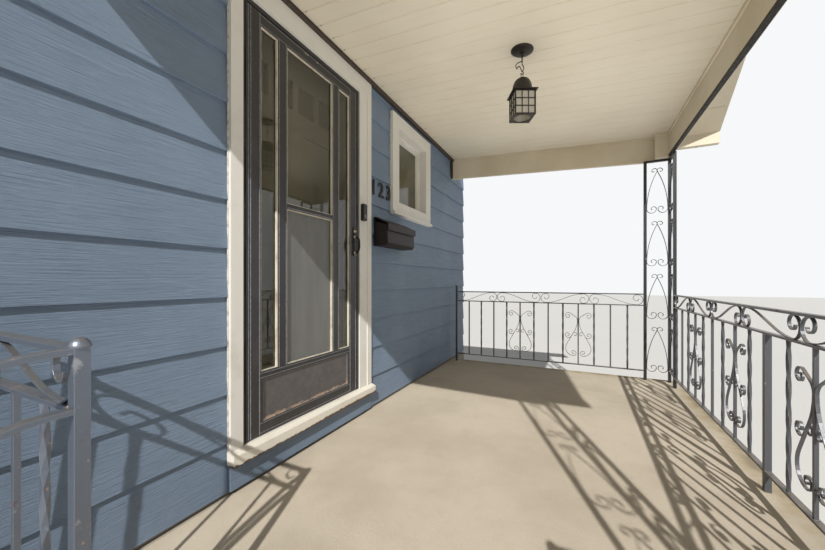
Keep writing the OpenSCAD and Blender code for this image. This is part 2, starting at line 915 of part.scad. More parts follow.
// The openings between the bars of the cage, cut through two opposite sides
module cage_lights() {
    n = 3;
    cell_w = (cage_w - 2 * cage_bar - (n - 1) * cage_rod) / n;
    cell_h = (cage_h - 2 * cage_bar - (n - 1) * cage_rod) / n;
    for (i = [0 : n - 1], j = [0 : n - 1])
        translate([cage_bar - cage_w / 2 + i * (cell_w + cage_rod), -cage_w,
            cage_bar + j * (cell_h + cage_rod)])
            cube([cell_w, 2 * cage_w, cell_h]);
}

module lantern_cage() {
    plate_w = cage_w + 22;
    hole_d = 98;
    in_w = cage_w - 2 * cage_rod;
    color("black")
    at_lantern() {
        translate([0, 0, ring_z]) rotate([0, 0, -45]) rotate([90, 0, 0])
            rotate_extrude() translate([ring_r, 0]) circle(d = ring_wire);
        translate([0, 0, dome_z]) dome(dome_r, dome_h, 5, dome_bulge);
        translate([-plate_w / 2, -plate_w / 2, cage_top]) cube([plate_w, plate_w, plate_t]);
        translate([0, 0, cage_top - cage_h]) difference() {
            translate([-cage_w / 2, -cage_w / 2, 0]) cube([cage_w, cage_w, cage_h]);
            translate([-in_w / 2, -in_w / 2, cage_rod]) cube([in_w, in_w, cage_h]);
            translate([0, 0, -1]) cylinder(h = cage_rod + 2, d = hole_d);
            cage_lights();
            rotate([0, 0, 90]) cage_lights();
        }
    }
}

module lantern_glass() {
    out_w = cage_w - 2 * cage_rod - 2 * seat;
    t = 2;
    h = cage_h - cage_rod - 2 * seat;
    color("white", 0.5)
    at_lantern() translate([0, 0, cage_top - cage_h + cage_rod + seat])
        difference() {
            translate([-out_w / 2, -out_w / 2, 0]) cube([out_w, out_w, h]);
            translate([t - out_w / 2, t - out_w / 2, -1]) cube([out_w - 2 * t, out_w - 2 * t, h + 2]);
        }
}

// Ironwork. A panel is drawn flat, along X and up Y, and is scroll_w or so thick.

// Stands a flat panel up along X, its middle on the plane y = 0
module upright() {
    rotate([90, 0, 0]) children();
}

// Points and directions of a line that goes on from p in direction h through arcs of [radius, turn],
// where a turn of 0 makes a straight stretch of that length
function walk(p, h, steps, i = 0) =
    i >= len(steps) ? [[p, h]] :
    steps[i][1] == 0 ? concat([[p, h]], walk(p + polar(steps[i][0], h), h, steps, i + 1)) :
    let (
        r = steps[i][0],
        turn = steps[i][1],
        side = sign(turn),
        c = p + side * r * [-sin(h), cos(h)],
        n = max(2, ceil(abs(turn) / arc_step * sqrt(r / curl_r))),
        arc = [for (k = [0 : n]) c + side * r * [sin(h + turn * k / n), -cos(h + turn * k / n)]]
    )
    concat([for (k = [0 : n - 1]) [arc[k], h + turn * k / n]], walk(arc[n], h + turn, steps, i + 1));

function beside(points, off) = [for (q = points) q[0] + off * [-sin(q[1]), cos(q[1])]];

function reversed(list) = [for (i = [len(list) - 1 : -1 : 0]) list[i]];

// A flat strip bent along points and directions
module strip(points) {
    translate([0, 0, -scroll_w / 2]) linear_extrude(scroll_w)
        polygon(concat(beside(points, scroll_t / 2), reversed(beside(points, -scroll_t / 2))));
}

// A strip that runs both ways from p: the arcs ahead of it, and the arcs behind it
module scroll(p, h, ahead, behind) {
    back = walk(p, h + 180, behind);
    turned = reversed([for (i = [1 : len(back) - 1]) [back[i][0], back[i][1] + 180]]);
    strip(concat(turned, walk(p, h, ahead)));
}

// An S on its side, as wide as w and as high as h, with a curl of the full height at each end
module lying_s(w, h) {
    curl = (h - scroll_t) / 2;
    reach = (w - scroll_t) / 2 - curl;
    a = 1.5 * atan2(curl, reach);
    bend_r = (reach - curl / tan(a)) / tan(a / 2);
    run = (curl - bend_r * (1 - cos(a))) / sin(a);
    half = [[run, 0], [bend_r, -a], [curl, -190], [curl * 0.62, -160], [curl * 0.38, -110]];
    scroll([0, 0], a, half, half);
}

// The four scrolls on a baluster: a pair back to back over a pair face to face
module motif() {
    curl = [[curl_r, 180], [curl_r * 0.62, 160], [curl_r * 0.38, 120]];
    up = concat([[neck_r, -55], [neck_run, 0]], [for (arc = curl) [arc[0], -arc[1]]]);
    down = concat([[flare_r, 30], [neck_run, 0]], curl);
    heart_top = [[belly_r, 28], [belly_run, 0], [belly_curl_r, 175], [belly_curl_r * 0.67, 150]];
    heart_foot = [[foot_r, -90], [foot_curl_r, -180], [foot_curl_r * 0.6, -160], [foot_curl_r * 0.36, -110]];
    for (side = [0, 1])
        mirror([side, 0]) {
            scroll([bar_w / 2 + 1, motif_waist_z], 90, up, down);
            scroll([motif_half, motif_low_z], -90, heart_foot, heart_top);
        }
}

// An S that stands against its mirror image: it curls outward on top and inward at its foot
module column_scroll(w, h) {
    foot_r = w * 0.45;
    top_r = w * 0.25;
    run = h - foot_r - top_r - scroll_t;
    lean = 2 * atan2(w - scroll_t, run);
    long_r = run / sin(lean);
    scroll([w - scroll_t / 2, foot_r + scroll_t / 2], -90,
        [[foot_r, -185], [foot_r * 0.55, -160], [foot_r * 0.3, -100]],
        [[long_r, lean], [top_r, -lean - 175], [top_r * 0.55, -150]]);
}

// A bar of the panel between two corners
module flat_bar(x0, y0, x1, y1, depth) {
    translate([x0, y0, -depth / 2]) cube([x1 - x0, y1 - y0, depth]);
}

motif_half = 113;
motif_waist_z = 520;
motif_low_z = 238;
curl_r = 27;
neck_r = 50;
neck_run = 54;
flare_r = 230;
belly_r = 110;
belly_run = 115;
belly_curl_r = 18;
foot_r = 70;
foot_curl_r = 25;
twist_pitch = 440;
twist_step = 30;
rail_top_t = 11;
rail_mid_t = 9;
rail_depth = 24;
mid_rail_top = rail_h - rail_top_t - band_h;

// A square bar twisted about its own length
module twisted_bar(y0, y1) {
    turn = (y1 - y0) / twist_pitch * 360;
    translate([0, y0, 0]) rotate([-90, 0, 0])
        linear_extrude(y1 - y0, twist = turn, slices = ceil(turn / twist_step), segments = 4)
            square(bar_w, center = true);
}

function spread(a, b, n) = [for (i = [0 : n]) a + (b - a) * i / n];

// Rails, plain and twisted balusters at the places given, and an S between every two of the stops
module railing_panel(x0, x1, plain, twisted, stops, flip = 0) {
    s_gap = 4;
    flat_bar(x0, rail_h - rail_top_t, x1, rail_h, rail_depth + 2);
    flat_bar(x0, mid_rail_top - rail_mid_t, x1, mid_rail_top, rail_depth);
    flat_bar(x0, bottom_rail_h, x1, bottom_rail_h + rail_mid_t, rail_depth);
    for (x = twisted)
        translate([x, 0, 0]) twisted_bar(bottom_rail_h + 1, mid_rail_top - 1);
    for (x = plain)
        flat_bar(x - bar_w / 2, bottom_rail_h + 1, x + bar_w / 2, mid_rail_top - 1, bar_w);
    for (i = [0 : len(stops) - 2])
        translate([(stops[i] + stops[i + 1]) / 2, mid_rail_top + band_h / 2])
            mirror([(i + flip) % 2, 0, 0])
                lying_s(abs(stops[i + 1] - stops[i]) - s_gap, band_h + scroll_t / 2);
}

module square_post(h) {
    translate([-post_half, -post_half, 0]) cube([post_w, post_w, h]);
}

// A flat cap with a round rim
module post_cap() {
    cap_d = post_w + 11;
    rim_h = 4;
    cylinder(h = rim_h, d = cap_d);
    difference() {
        translate([0, 0, 1]) sphere(d = cap_d - 1);
        translate([-cap_d, -cap_d, rim_h - 1 - 2 * cap_d]) cube(2 * cap_d);
    }
}

wall_post_h = 860;
front_post_x = -31;
s_bays = 3;
front_seam = front_post_x - s_bays / 2 * front_pitch;

function front_xs(from, to, odd) =
    [for (k = [from : to]) if (k != 0 && abs(k) % 2 == odd) front_post_x + k * front_pitch];

module front_railing_far() {
    x1 = leg_x - post_half;
    color("dimgray") translate([0, front_y, floor_h]) upright() {
        railing_panel(front_seam + seat, x1, front_xs(-1, 9, 0), front_xs(-1, 9, 1),
            concat([front_seam], spread(front_seam + s_bays * front_pitch, x1, 3)));
        for (k = [2, 6])
            translate([front_post_x + k * front_pitch, 0]) motif();
    }
    color("dimgray") translate([front_post_x, front_y, floor_h]) square_post(mid_rail_top - 1);
}

module front_railing_near() {
    color("dimgray") translate([0, front_y, floor_h]) upright() {
        railing_panel(-leg_x + post_half, front_seam, front_xs(-8, -2, 0), front_xs(-8, -2, 1),
            spread(front_seam, -leg_x + post_half, 3), 1);
        for (k = [-2, -6])
            translate([front_post_x + k * front_pitch, 0]) motif();
    }
}

// The places of an end railing's balusters after the post at y, every second one
function end_ys(y, first, n) = [for (k = [first : 2 : n]) y + k * end_pitch];

module far_railing() {
    n = round((wall_post_y - leg_y) / end_pitch) - 1;
    y0 = leg_y + post_half;
    y1 = wall_post_y - post_half;
    color("dimgray") translate([rail_x, 0, floor_h]) rotate([0, 0, 90]) upright() {
        railing_panel(y0, y1, end_ys(leg_y, 2, n), end_ys(leg_y, 1, n), spread(y0, y1, 4));
        for (k = [4 : 4 : n - 1])
            translate([leg_y + k * end_pitch, 0]) motif();
    }
    color("dimgray") translate([rail_x, wall_post_y, floor_h]) square_post(wall_post_h);
}

module near_railing() {
    y0 = gate_near_y + post_half;
    y1 = wall_post_y - post_half;
    y2 = leg_y + post_half;
    y3 = gate_far_y - post_half;
    color("silver") translate([-rail_x, 0, floor_h]) rotate([0, 0, 90]) upright() {
        railing_panel(y0, y1, end_ys(gate_near_y, 2, 3), end_ys(gate_near_y, 1, 3), [y0, y1]);
        railing_panel(y2, y3, [], [(y2 + y3) / 2], [y2, y3]);
    }
    color("silver")
    for (y = [gate_near_y, gate_far_y, wall_post_y])
        translate([-rail_x, y, floor_h]) {
            square_post(rail_h);
            translate([0, 0, rail_h]) post_cap();
        }
}

// Both handrails run level, bend down and follow the slope of the steps
module handrails() {
    foot_x = slab_half + (risers - 1) * tread_d - 40;
    level = 30;
    bend_r = 200;
    slope = atan2(riser_h, tread_d);
    run_x = foot_x - rail_x - post_w;
    run = (run_x - level - bend_r * sin(slope)) / cos(slope);
    drop = bend_r * (1 - cos(slope)) + run * sin(slope);
    tread_z = floor_h - (risers - 1) * riser_h;
    post_h = floor_h + rail_h - drop - tread_z;
    color("silver")
    for (y = [gate_near_y, gate_far_y]) {
        across(y - post_half, y + post_half)
            for (rail = [[rail_h, rail_top_t], [mid_rail_top, rail_mid_t]]) {
                points = walk([-rail_x - post_half, floor_h + rail[0] - rail[1] / 2], 180,
                    [[level, 0], [bend_r, slope], [run, 0]]);
                polygon(concat(beside(points, rail[1] / 2), reversed(beside(points, -rail[1] / 2))));
            }
        translate([-foot_x, y, tread_z]) {
            square_post(post_h);
            translate([0, 0, post_h]) post_cap();
        }
    }
}

// Columns

column_scrolls = 4;

// Pairs of tall scrolls between two posts, fused with the posts and with each other
module column_infill(h) {
    gap = 82;
    weld = 0.5;
    pair_h = (h - gap * (column_scrolls + 1)) / column_scrolls;
    w = column_leg / 2 - post_half;
    for (i = [0 : column_scrolls - 1], side = [0, 1])
        translate([0, gap + i * (pair_h + gap)]) mirror([side, 0, 0])
            column_scroll(w + weld, pair_h);
}

module corner_column() {
    h = column_top - floor_h;
    top_bar_h = 18;
    for (p = [[0, 0], [0, column_leg], [-column_leg, 0]])
        translate([p[0], p[1], 0]) square_post(h);
    block([-column_leg, -post_half, h - top_bar_h], [0, post_half, h]);
    block([-post_half, 0, h - top_bar_h], [post_half, column_leg, h]);
    translate([0, column_leg / 2, 0]) rotate([0, 0, 90]) upright() column_infill(h);
    translate([-column_leg / 2, 0, 0]) upright() column_infill(h);
}

module far_column() {
    color("dimgray") translate([rail_x, front_y, floor_h]) corner_column();
}

module near_column() {
    color("dimgray") translate([-rail_x, front_y, floor_h]) mirror([1, 0, 0]) corner_column();
}

porch_slab();
porch_foundation();
entry_steps();
house_foundation();
wall_left();
wall_right();
wall_over_door();
wall_under_door();
house_gable();
siding_left();
siding_right();
door_casing();
door_jamb();
door_sill();
riser_board();
storm_frame();
storm_door();
storm_glass();
storm_screen();
storm_handle();
entry_door();
entry_glass();
entry_knob();
window_trim();
window_sash();
window_glass();
mailbox_body();
mailbox_lid();
doorbell();
porch_ceiling();
front_beam();
beam_strip();
far_beam();
near_beam();
beam_heads();
front_gable();
roof_far();
roof_near();
rake_boxes();
eave_boxes();
lantern_canopy();
lantern_cage();
lantern_glass();
far_column();
near_column();
far_railing();
front_railing_far();
front_railing_near();
near_railing();
handrails();
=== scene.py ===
import json
import math
import random

import bmesh
import bpy
from mathutils import Matrix, Vector


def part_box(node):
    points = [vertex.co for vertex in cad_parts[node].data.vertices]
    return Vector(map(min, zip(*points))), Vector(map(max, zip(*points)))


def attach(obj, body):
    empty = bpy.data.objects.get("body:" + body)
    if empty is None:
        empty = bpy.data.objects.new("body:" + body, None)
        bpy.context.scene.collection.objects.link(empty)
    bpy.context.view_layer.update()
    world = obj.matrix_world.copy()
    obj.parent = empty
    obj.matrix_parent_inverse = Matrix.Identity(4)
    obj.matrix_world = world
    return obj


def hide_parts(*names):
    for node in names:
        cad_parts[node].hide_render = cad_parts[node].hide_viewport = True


# Camera, as the photograph was taken: at the near end of the porch, looking level to its far end
CAMERA_AT = (-2.0445, -1.3357, 1.4518)
CAMERA_HEADING = 64.24
CAMERA_LENS = 15.05
CAMERA_SENSOR = 36.0
CAMERA_SHIFT_Y = 0.0073
CAMERA_CLIP = (0.02, 200)

# Light, with its angles in degrees
SKY_STRENGTH = 0.2
BACKDROP_SHADE = (0.93, 0.94, 0.95, 1.0)
SUN_STRENGTH = 4.0
SUN_SOFTNESS = 0.7
SUN_COLOUR = (1.0, 0.97, 0.92)
SUN_WAY = (0.743, 0.292, -0.602)
BOUNCE_POWER = 10.5
BOUNCE_SIZE = (3.1, 1.9)
BOUNCE_AT = (0, -1.05, 0.60)
BOUNCE_SPREAD = 80
BOUNCE_COLOUR = (1.0, 0.95, 0.86)
FLOOR_HALF = 40.0

# Levels and sizes of the porch that its pieces follow, in metres and radians
FLOOR_Z = 0.540
CEILING_AT_WALL = 2.865
CEILING_FALL = math.radians(2.8)
CEILING_BOARD = 0.110
ROOF_PITCH = math.atan(0.6669)
ROOF_T = 0.060
SHINGLE_BED = 0.016
SHINGLE_ROW = 0.143
SHINGLE_TAB = 0.305
SOFFIT_SHEET = 0.3
BLOCK_PITCH = 0.407
BLOCK_ROW = 0.203
MORTAR = 0.010
WINDOW_LINING = 0.012
SASH_FACE_Y = 0.0595
PANE_FACE_Y = 0.0745
STORM_FRAME_W = 0.0265
SIDE_LITE_LEFT = 0.102
SIDE_LITE_RIGHT = 0.108
MID_BAR = 0.028
KICK_RAIL = 0.038
KICK_H = 0.197
SCREWS_X = (-0.612, -0.596, -0.518)
RAIL_TOP = 1.336
SECOND_RAIL_DROP = 0.109
LOW_RAIL_RISE = 0.086
GATE_NEAR_Y = -0.5455
GATE_FAR_Y = -1.637
GATE_POST_HALF = 0.0125
GATE_BAR_PITCH = 0.139
CAGE_H = 0.142
CAGE_PLATE = 0.005
CAGE_CORNER = 0.0565
DOME_H = 0.087
LANTERN_TURN = math.radians(25.8)
LANTERN_ROD = 0.060
HOOK_SIDE = (-0.4346, 0.9006, 0)

# House number
NUMERALS = "123"
NUMERAL_X = 0.0746
NUMERAL_PITCH = 0.105
NUMERAL_Z = 2.132
NUMERAL_H = 0.112
NUMERAL_T = 0.005
NUMERAL_WEIGHT = 0.018

OUTWARD = (0, -1, 0)
DOWNWARD = (0, 0, -1)

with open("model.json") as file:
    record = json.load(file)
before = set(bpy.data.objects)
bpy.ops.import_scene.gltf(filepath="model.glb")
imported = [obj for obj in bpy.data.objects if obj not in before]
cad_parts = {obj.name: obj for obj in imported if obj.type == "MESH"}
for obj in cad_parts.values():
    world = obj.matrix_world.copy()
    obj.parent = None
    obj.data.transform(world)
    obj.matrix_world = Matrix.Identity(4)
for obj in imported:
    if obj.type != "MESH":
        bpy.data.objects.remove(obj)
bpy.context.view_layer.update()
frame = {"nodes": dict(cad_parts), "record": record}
random.seed(7)


def tone(*channels):
    """A display colour of 0 to 255 a channel as the linear colour that a shader takes."""
    shares = [channel / 255 for channel in channels]
    return (*(s / 12.92 if s <= 0.04045 else ((s + 0.055) / 1.055) ** 2.4 for s in shares), 1.0)


class Look:
    """A material of nodes round one shader. Sizes are in metres, and places in the row frame."""

    # Sockets of a colour mix
    FIRST_COLOUR, SECOND_COLOUR, MIXED_COLOUR = 6, 7, 2

    def __init__(self, name, **sockets):
        self.name = name
        self.material = bpy.data.materials.new(name)
        self.material.use_nodes = True
        self.tree = self.material.node_tree
        self.tree.nodes.clear()
        self.shader = self.node("BsdfPrincipled")
        out = self.node("OutputMaterial")
        self.tree.links.new(self.shader.outputs[0], out.inputs["Surface"])
        self.place = self.node("TexCoord").outputs["Object"]
        self.set(**sockets)

    def node(self, kind, **properties):
        node = self.tree.nodes.new("ShaderNode" + kind)
        for name, value in properties.items():
            setattr(node, name, value)
        return node

    def feed(self, socket, value):
        if isinstance(value, bpy.types.NodeSocket):
            self.tree.links.new(value, socket)
        else:
            socket.default_value = value

    def set(self, **sockets):
        for name, value in sockets.items():
            self.feed(self.shader.inputs[name.replace("_", " ")], value)

    def math(self, operation, a, b=0.0):
        node = self.node("Math", operation=operation)
        self.feed(node.inputs[0], a)
        self.feed(node.inputs[1], b)
        return node.outputs[0]

    def stretched(self, scale):
        """The place with each axis scaled, so that a texture runs finer along some axes."""
        node = self.node("Mapping")
        self.feed(node.inputs["Vector"], self.place)
        node.inputs["Scale"].default_value = scale
        return node.outputs[0]

    def noise(self, scale, detail=3.0, roughness=0.55, stretch=None, warp=0.0):
        node = self.node("TexNoise")
        self.feed(node.inputs["Vector"], self.stretched(stretch) if stretch else self.place)
        node.inputs["Scale"].default_value = scale
        node.inputs["Detail"].default_value = detail
        node.inputs["Roughness"].default_value = roughness
        node.inputs["Distortion"].default_value = warp
        return node.outputs[0]

    def cells(self, scale):
        node = self.node("TexVoronoi")
        self.feed(node.inputs["Vector"], self.place)
        node.inputs["Scale"].default_value = scale
        return node.outputs["Distance"]

    def axes(self, vector=None):
        """The three numbers of a vector, or of the place."""
        node = self.node("SeparateXYZ")
        self.feed(node.inputs[0], self.place if vector is None else vector)
        return node.outputs

    def ramp(self, value, low, high, to_low=0.0, to_high=1.0):
        """Value eased from the span of low to high onto that of to_low to to_high."""
        node = self.node("MapRange", interpolation_type="SMOOTHSTEP")
        self.feed(node.inputs["Value"], value)
        spans = {"From Min": low, "From Max": high, "To Min": to_low, "To Max": to_high}
        for name, number in spans.items():
            node.inputs[name].default_value = number
        return node.outputs[0]

    def mix(self, share, a, b):
        node = self.node("Mix", data_type="RGBA")
        self.feed(node.inputs[0], share)
        self.feed(node.inputs[self.FIRST_COLOUR], a)
        self.feed(node.inputs[self.SECOND_COLOUR], b)
        return node.outputs[self.MIXED_COLOUR]

    def shade(self, value, low, high, a, b, most=1.0):
        """Colour a turning to b, by at most that share, as value rises from low to high."""
        return self.mix(self.ramp(value, low, high, 0.0, most), a, b)

    def rounding(self, radius):
        """The normal of a surface whose edges are rounded off."""
        node = self.node("Bevel", samples=4)
        node.inputs["Radius"].default_value = radius
        return node.outputs[0]

    def near_edge(self, radius, most):
        """That share on the edges of a solid, 0 on its faces."""
        dot = self.node("VectorMath", operation="DOT_PRODUCT")
        self.feed(dot.inputs[0], self.rounding(radius))
        self.feed(dot.inputs[1], self.node("NewGeometry").outputs["Normal"])
        return self.ramp(self.math("SUBTRACT", 1.0, dot.outputs["Value"]), 0.02, 0.3, 0.0, most)

    def relief(self, height, depth, radius=0.0):
        """Bumps of that height texture and depth in metres, over edges rounded off by a radius."""
        bump = self.node("Bump")
        self.feed(bump.inputs["Height"], height)
        bump.inputs["Strength"].default_value = 1.0
        bump.inputs["Distance"].default_value = depth
        if radius:
            self.feed(bump.inputs["Normal"], self.rounding(radius))
        self.set(Normal=bump.outputs[0])
        return self


# Looks of the materials

def concrete_look():
    """Worn concrete, with moss and dirt along the slab's free edges."""
    look = Look("concrete")
    x, y, _ = look.axes()
    low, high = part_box("porch_slab")
    clouds = look.noise(1.6, 4)
    speckle = look.noise(260, 2, 0.7)
    pits = look.ramp(look.cells(90), 0.05, 0.16, 0.25, 0)
    base = look.shade(clouds, 0.35, 0.65, tone(188, 177, 160), tone(203, 192, 175))
    base = look.shade(look.noise(9, 4, 0.6), 0.45, 0.75, base, tone(172, 160, 141), 0.2)
    base = look.shade(speckle, 0.5, 0.75, base, tone(154, 142, 123), 0.25)
    base = look.mix(pits, base, tone(140, 127, 108))
    from_side = look.math("SUBTRACT", high.x, look.math("ABSOLUTE", x))
    from_front = look.math("SUBTRACT", y, low.y)
    from_edge = look.math("MINIMUM", from_side, from_front)
    ragged = look.math("ADD", from_edge, look.ramp(look.noise(5, 4, 0.65), 0.3, 0.7, -0.05, 0.05))
    on_slab = look.ramp(from_side, -0.006, -0.003)
    moss = look.math("MULTIPLY", look.ramp(ragged, 0.02, 0.1, 0.45, 0), on_slab)
    stain = look.math("MULTIPLY", look.ramp(ragged, -0.02, 0.03, 0.5, 0), on_slab)
    base = look.mix(moss, base, tone(164, 146, 100))
    base = look.mix(stain, base, tone(112, 100, 80))
    look.set(Base_Color=base, Roughness=look.ramp(speckle, 0.2, 0.8, 0.85, 0.97))
    grit = look.math("ADD", look.noise(140, 4, 0.6), look.math("MULTIPLY", clouds, 0.5))
    return look.relief(grit, 0.0012, 0.004)


def block_look():
    look = Look("block")
    grit = look.noise(180, 4, 0.7)
    base = look.shade(look.noise(3, 3), 0.35, 0.7, tone(176, 170, 160), tone(156, 150, 141))
    base = look.shade(grit, 0.5, 0.8, base, tone(118, 112, 104), 0.5)
    look.set(Base_Color=base, Roughness=0.95)
    return look.relief(grit, 0.002, 0.003)


def wall_frame_look():
    look = Look("wall_frame")
    grain = look.noise(6, 4, 0.6, stretch=(1, 1, 14))
    look.set(Base_Color=look.mix(grain, tone(188, 174, 148), tone(170, 155, 128)), Roughness=0.8)
    return look.relief(grain, 0.001)


def siding_look():
    look = Look("siding")
    grain = look.noise(22, 5, 0.62, stretch=(0.25, 1, 9), warp=0.6)
    fine = look.noise(60, 3, 0.6, stretch=(0.12, 1, 10))
    weather = look.noise(1.3, 4)
    base = look.shade(weather, 0.35, 0.7, tone(118, 137, 161), tone(129, 148, 172))
    base = look.shade(grain, 0.5, 0.75, base, tone(94, 110, 131), 0.35)
    look.set(Base_Color=base, Roughness=look.ramp(grain, 0.3, 0.7, 0.5, 0.68))
    return look.relief(look.math("ADD", grain, look.math("MULTIPLY", fine, 0.6)), 0.005, 0.0015)


def white_trim_look():
    look = Look("white_trim")
    brush = look.noise(30, 4, 0.6, stretch=(1, 1, 0.15))
    dirt = look.noise(4, 5, 0.65)
    base = look.shade(dirt, 0.5, 0.8, tone(224, 223, 218), tone(198, 194, 184), 0.6)
    look.set(Base_Color=base, Roughness=0.5)
    return look.relief(brush, 0.0005, 0.002)


def sill_look():
    """White paint flaked off to dark wood along the front's lower edge."""
    look = Look("sill_paint")
    x, _, z = look.axes()
    low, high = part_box("door_sill")
    flakes = look.math("MULTIPLY", look.noise(60, 6, 0.7, stretch=(0.5, 1, 1.6)), 0.6)
    height = look.math("DIVIDE", look.math("SUBTRACT", z, low.z), high.z - low.z)
    side = look.ramp(x, -0.75, -0.35, 0.0, 0.12)
    bare = look.ramp(look.math("SUBTRACT", look.math("ADD", flakes, side), height), 0.18, 0.22)
    paint = look.shade(look.noise(5, 5, 0.6), 0.5, 0.8, tone(230, 226, 215), tone(204, 196, 180), 0.6)
    wood = look.mix(look.noise(90, 3, 0.6, stretch=(0.1, 1, 1)), tone(72, 54, 40), tone(122, 98, 74))
    look.set(Base_Color=look.mix(bare, paint, wood), Roughness=look.ramp(bare, 0, 1, 0.5, 0.85))
    return look.relief(look.math("MULTIPLY", bare, -1.0), 0.0012, 0.002)


def worn_bronze_look():
    """Dark bronze paint, scraped to metal and rust low on the kick panel's edge."""
    look = Look("worn_bronze", Roughness=0.45)
    x, _, z = look.axes()
    scuff = look.noise(60, 5, 0.7, stretch=(0.4, 1, 0.4))
    low_down = look.ramp(z, 0.796, 0.826, 0.26, 0.0)
    to_right = look.ramp(x, -0.245, -0.232, 0.0, 0.16)
    worn = look.ramp(look.math("ADD", scuff, look.math("MAXIMUM", low_down, to_right)), 0.70, 0.76)
    paint = look.shade(scuff, 0.3, 0.7, tone(84, 81, 83), tone(98, 95, 96))
    metal = look.mix(look.noise(90, 3, 0.6), tone(186, 178, 164), tone(134, 84, 52))
    look.set(Base_Color=look.mix(worn, paint, metal), Metallic=look.math("MULTIPLY", worn, 0.4))
    return look.relief(scuff, 0.0002)


def bronze_look():
    look = Look("bronze_aluminium")
    scuff = look.noise(60, 5, 0.7, stretch=(1, 1, 0.25))
    dust = look.noise(7, 5, 0.6)
    base = look.shade(dust, 0.45, 0.8, tone(48, 47, 49), tone(78, 77, 79), 0.5)
    base = look.shade(scuff, 0.62, 0.8, base, tone(128, 127, 126), 0.45)
    look.set(Base_Color=base, Roughness=look.ramp(dust, 0.3, 0.7, 0.32, 0.5))
    return look.relief(scuff, 0.0002, 0.0015)


def glass_look():
    look = Look("glass", Base_Color=(0.62, 0.64, 0.6, 1), Transmission_Weight=1.0, IOR=1.5)
    look.set(Roughness=look.ramp(look.noise(5, 4, 0.6), 0.4, 0.8, 0.01, 0.05))
    return look


def window_glass_look():
    """The window's glass, in the dark tone of the unlit room behind it: painted shade."""
    look = Look("window_glass_room_shade", IOR=1.52)
    film_and_shade = look.noise(3, 4, 0.6)
    # The base colour is painted shade for the dark room behind the glass; the noise varies it and the
    # roughness
    base = look.shade(film_and_shade, 0.35, 0.7, tone(84, 84, 68), tone(112, 110, 92))
    look.set(Base_Color=base, Roughness=look.ramp(film_and_shade, 0.3, 0.7, 0.04, 0.1))
    return look


def entry_glass_look():
    """The entry door's fanlight, dull behind the storm door."""
    look = Look("entry_dull_glass", Roughness=0.3)
    look.set(Base_Color=look.mix(look.noise(8, 4, 0.6), tone(156, 148, 126), tone(140, 132, 110)))
    return look


def screen_look():
    look = Look("screen", Metallic=0.2, Roughness=0.6)
    streak = look.noise(14, 3, 0.6, stretch=(1, 1, 0.15))
    look.set(Base_Color=look.shade(streak, 0.35, 0.7, tone(112, 113, 113), tone(120, 121, 120)))
    return look.relief(look.noise(900, 1), 0.0003)


def black_metal_look():
    look = Look("black_metal", Specular_IOR_Level=0.3)
    wear = look.near_edge(0.002, 0.6)
    look.set(Base_Color=look.mix(wear, tone(26, 26, 28), tone(110, 104, 95)),
             Roughness=look.ramp(look.noise(80, 3), 0.3, 0.7, 0.42, 0.6))
    return look.relief(look.noise(300, 2), 0.0001, 0.001)


def door_paint_look():
    look = Look("door_paint", Roughness=0.45)
    brush = look.noise(40, 4, 0.6, stretch=(1, 1, 0.1))
    base = look.shade(look.noise(3, 3), 0.4, 0.7, tone(186, 176, 156), tone(176, 164, 142))
    look.set(Base_Color=base)
    return look.relief(brush, 0.0003, 0.002)


def mailbox_look():
    look = Look("mailbox_metal", Roughness=0.5, Specular_IOR_Level=0.3)
    peel = look.noise(120, 3, 0.5)
    wear = look.near_edge(0.002, 0.5)
    base = look.shade(peel, 0.4, 0.7, tone(31, 26, 26), tone(40, 34, 33))
    look.set(Base_Color=look.mix(wear, base, tone(130, 116, 100)))
    return look.relief(peel, 0.0002, 0.002)


def black_plastic_look():
    look = Look("black_plastic", Roughness=0.45)
    grain = look.noise(400, 2)
    look.set(Base_Color=look.mix(grain, tone(30, 30, 32), tone(40, 40, 42)))
    return look.relief(grain, 0.0001, 0.002)


def ceiling_look():
    look = Look("ceiling_boards", Roughness=0.6)
    brush = look.noise(14, 4, 0.6, stretch=(3, 0.2, 1))
    base = look.shade(look.noise(1.2, 3), 0.35, 0.7, tone(224, 217, 201), tone(216, 208, 191))
    look.set(Base_Color=look.shade(brush, 0.5, 0.8, base, tone(200, 188, 166), 0.25))
    return look.relief(brush, 0.0006)


def cream_metal_look():
    look = Look("cream_metal", Roughness=0.5)
    base = look.shade(look.noise(2, 4), 0.4, 0.75, tone(219, 209, 188), tone(205, 193, 169))
    look.set(Base_Color=base)
    return look.relief(look.noise(3, 2), 0.002, 0.002)


def shingle_look():
    look = Look("shingles", Roughness=0.95)
    grit = look.noise(420, 3, 0.7)
    base = look.shade(grit, 0.35, 0.7, tone(74, 74, 78), tone(112, 111, 112))
    look.set(Base_Color=look.shade(look.cells(7), 0.1, 0.6, base, tone(84, 80, 78), 0.5))
    return look.relief(grit, 0.0015)


def frosted_glass_look():
    look = Look("frosted_glass", Transmission_Weight=0.35, IOR=1.45, Roughness=0.35)
    seeds = look.cells(150)
    look.set(Base_Color=look.shade(seeds, 0.0, 0.4, tone(254, 252, 244), tone(242, 238, 226)))
    return look.relief(seeds, 0.0006)


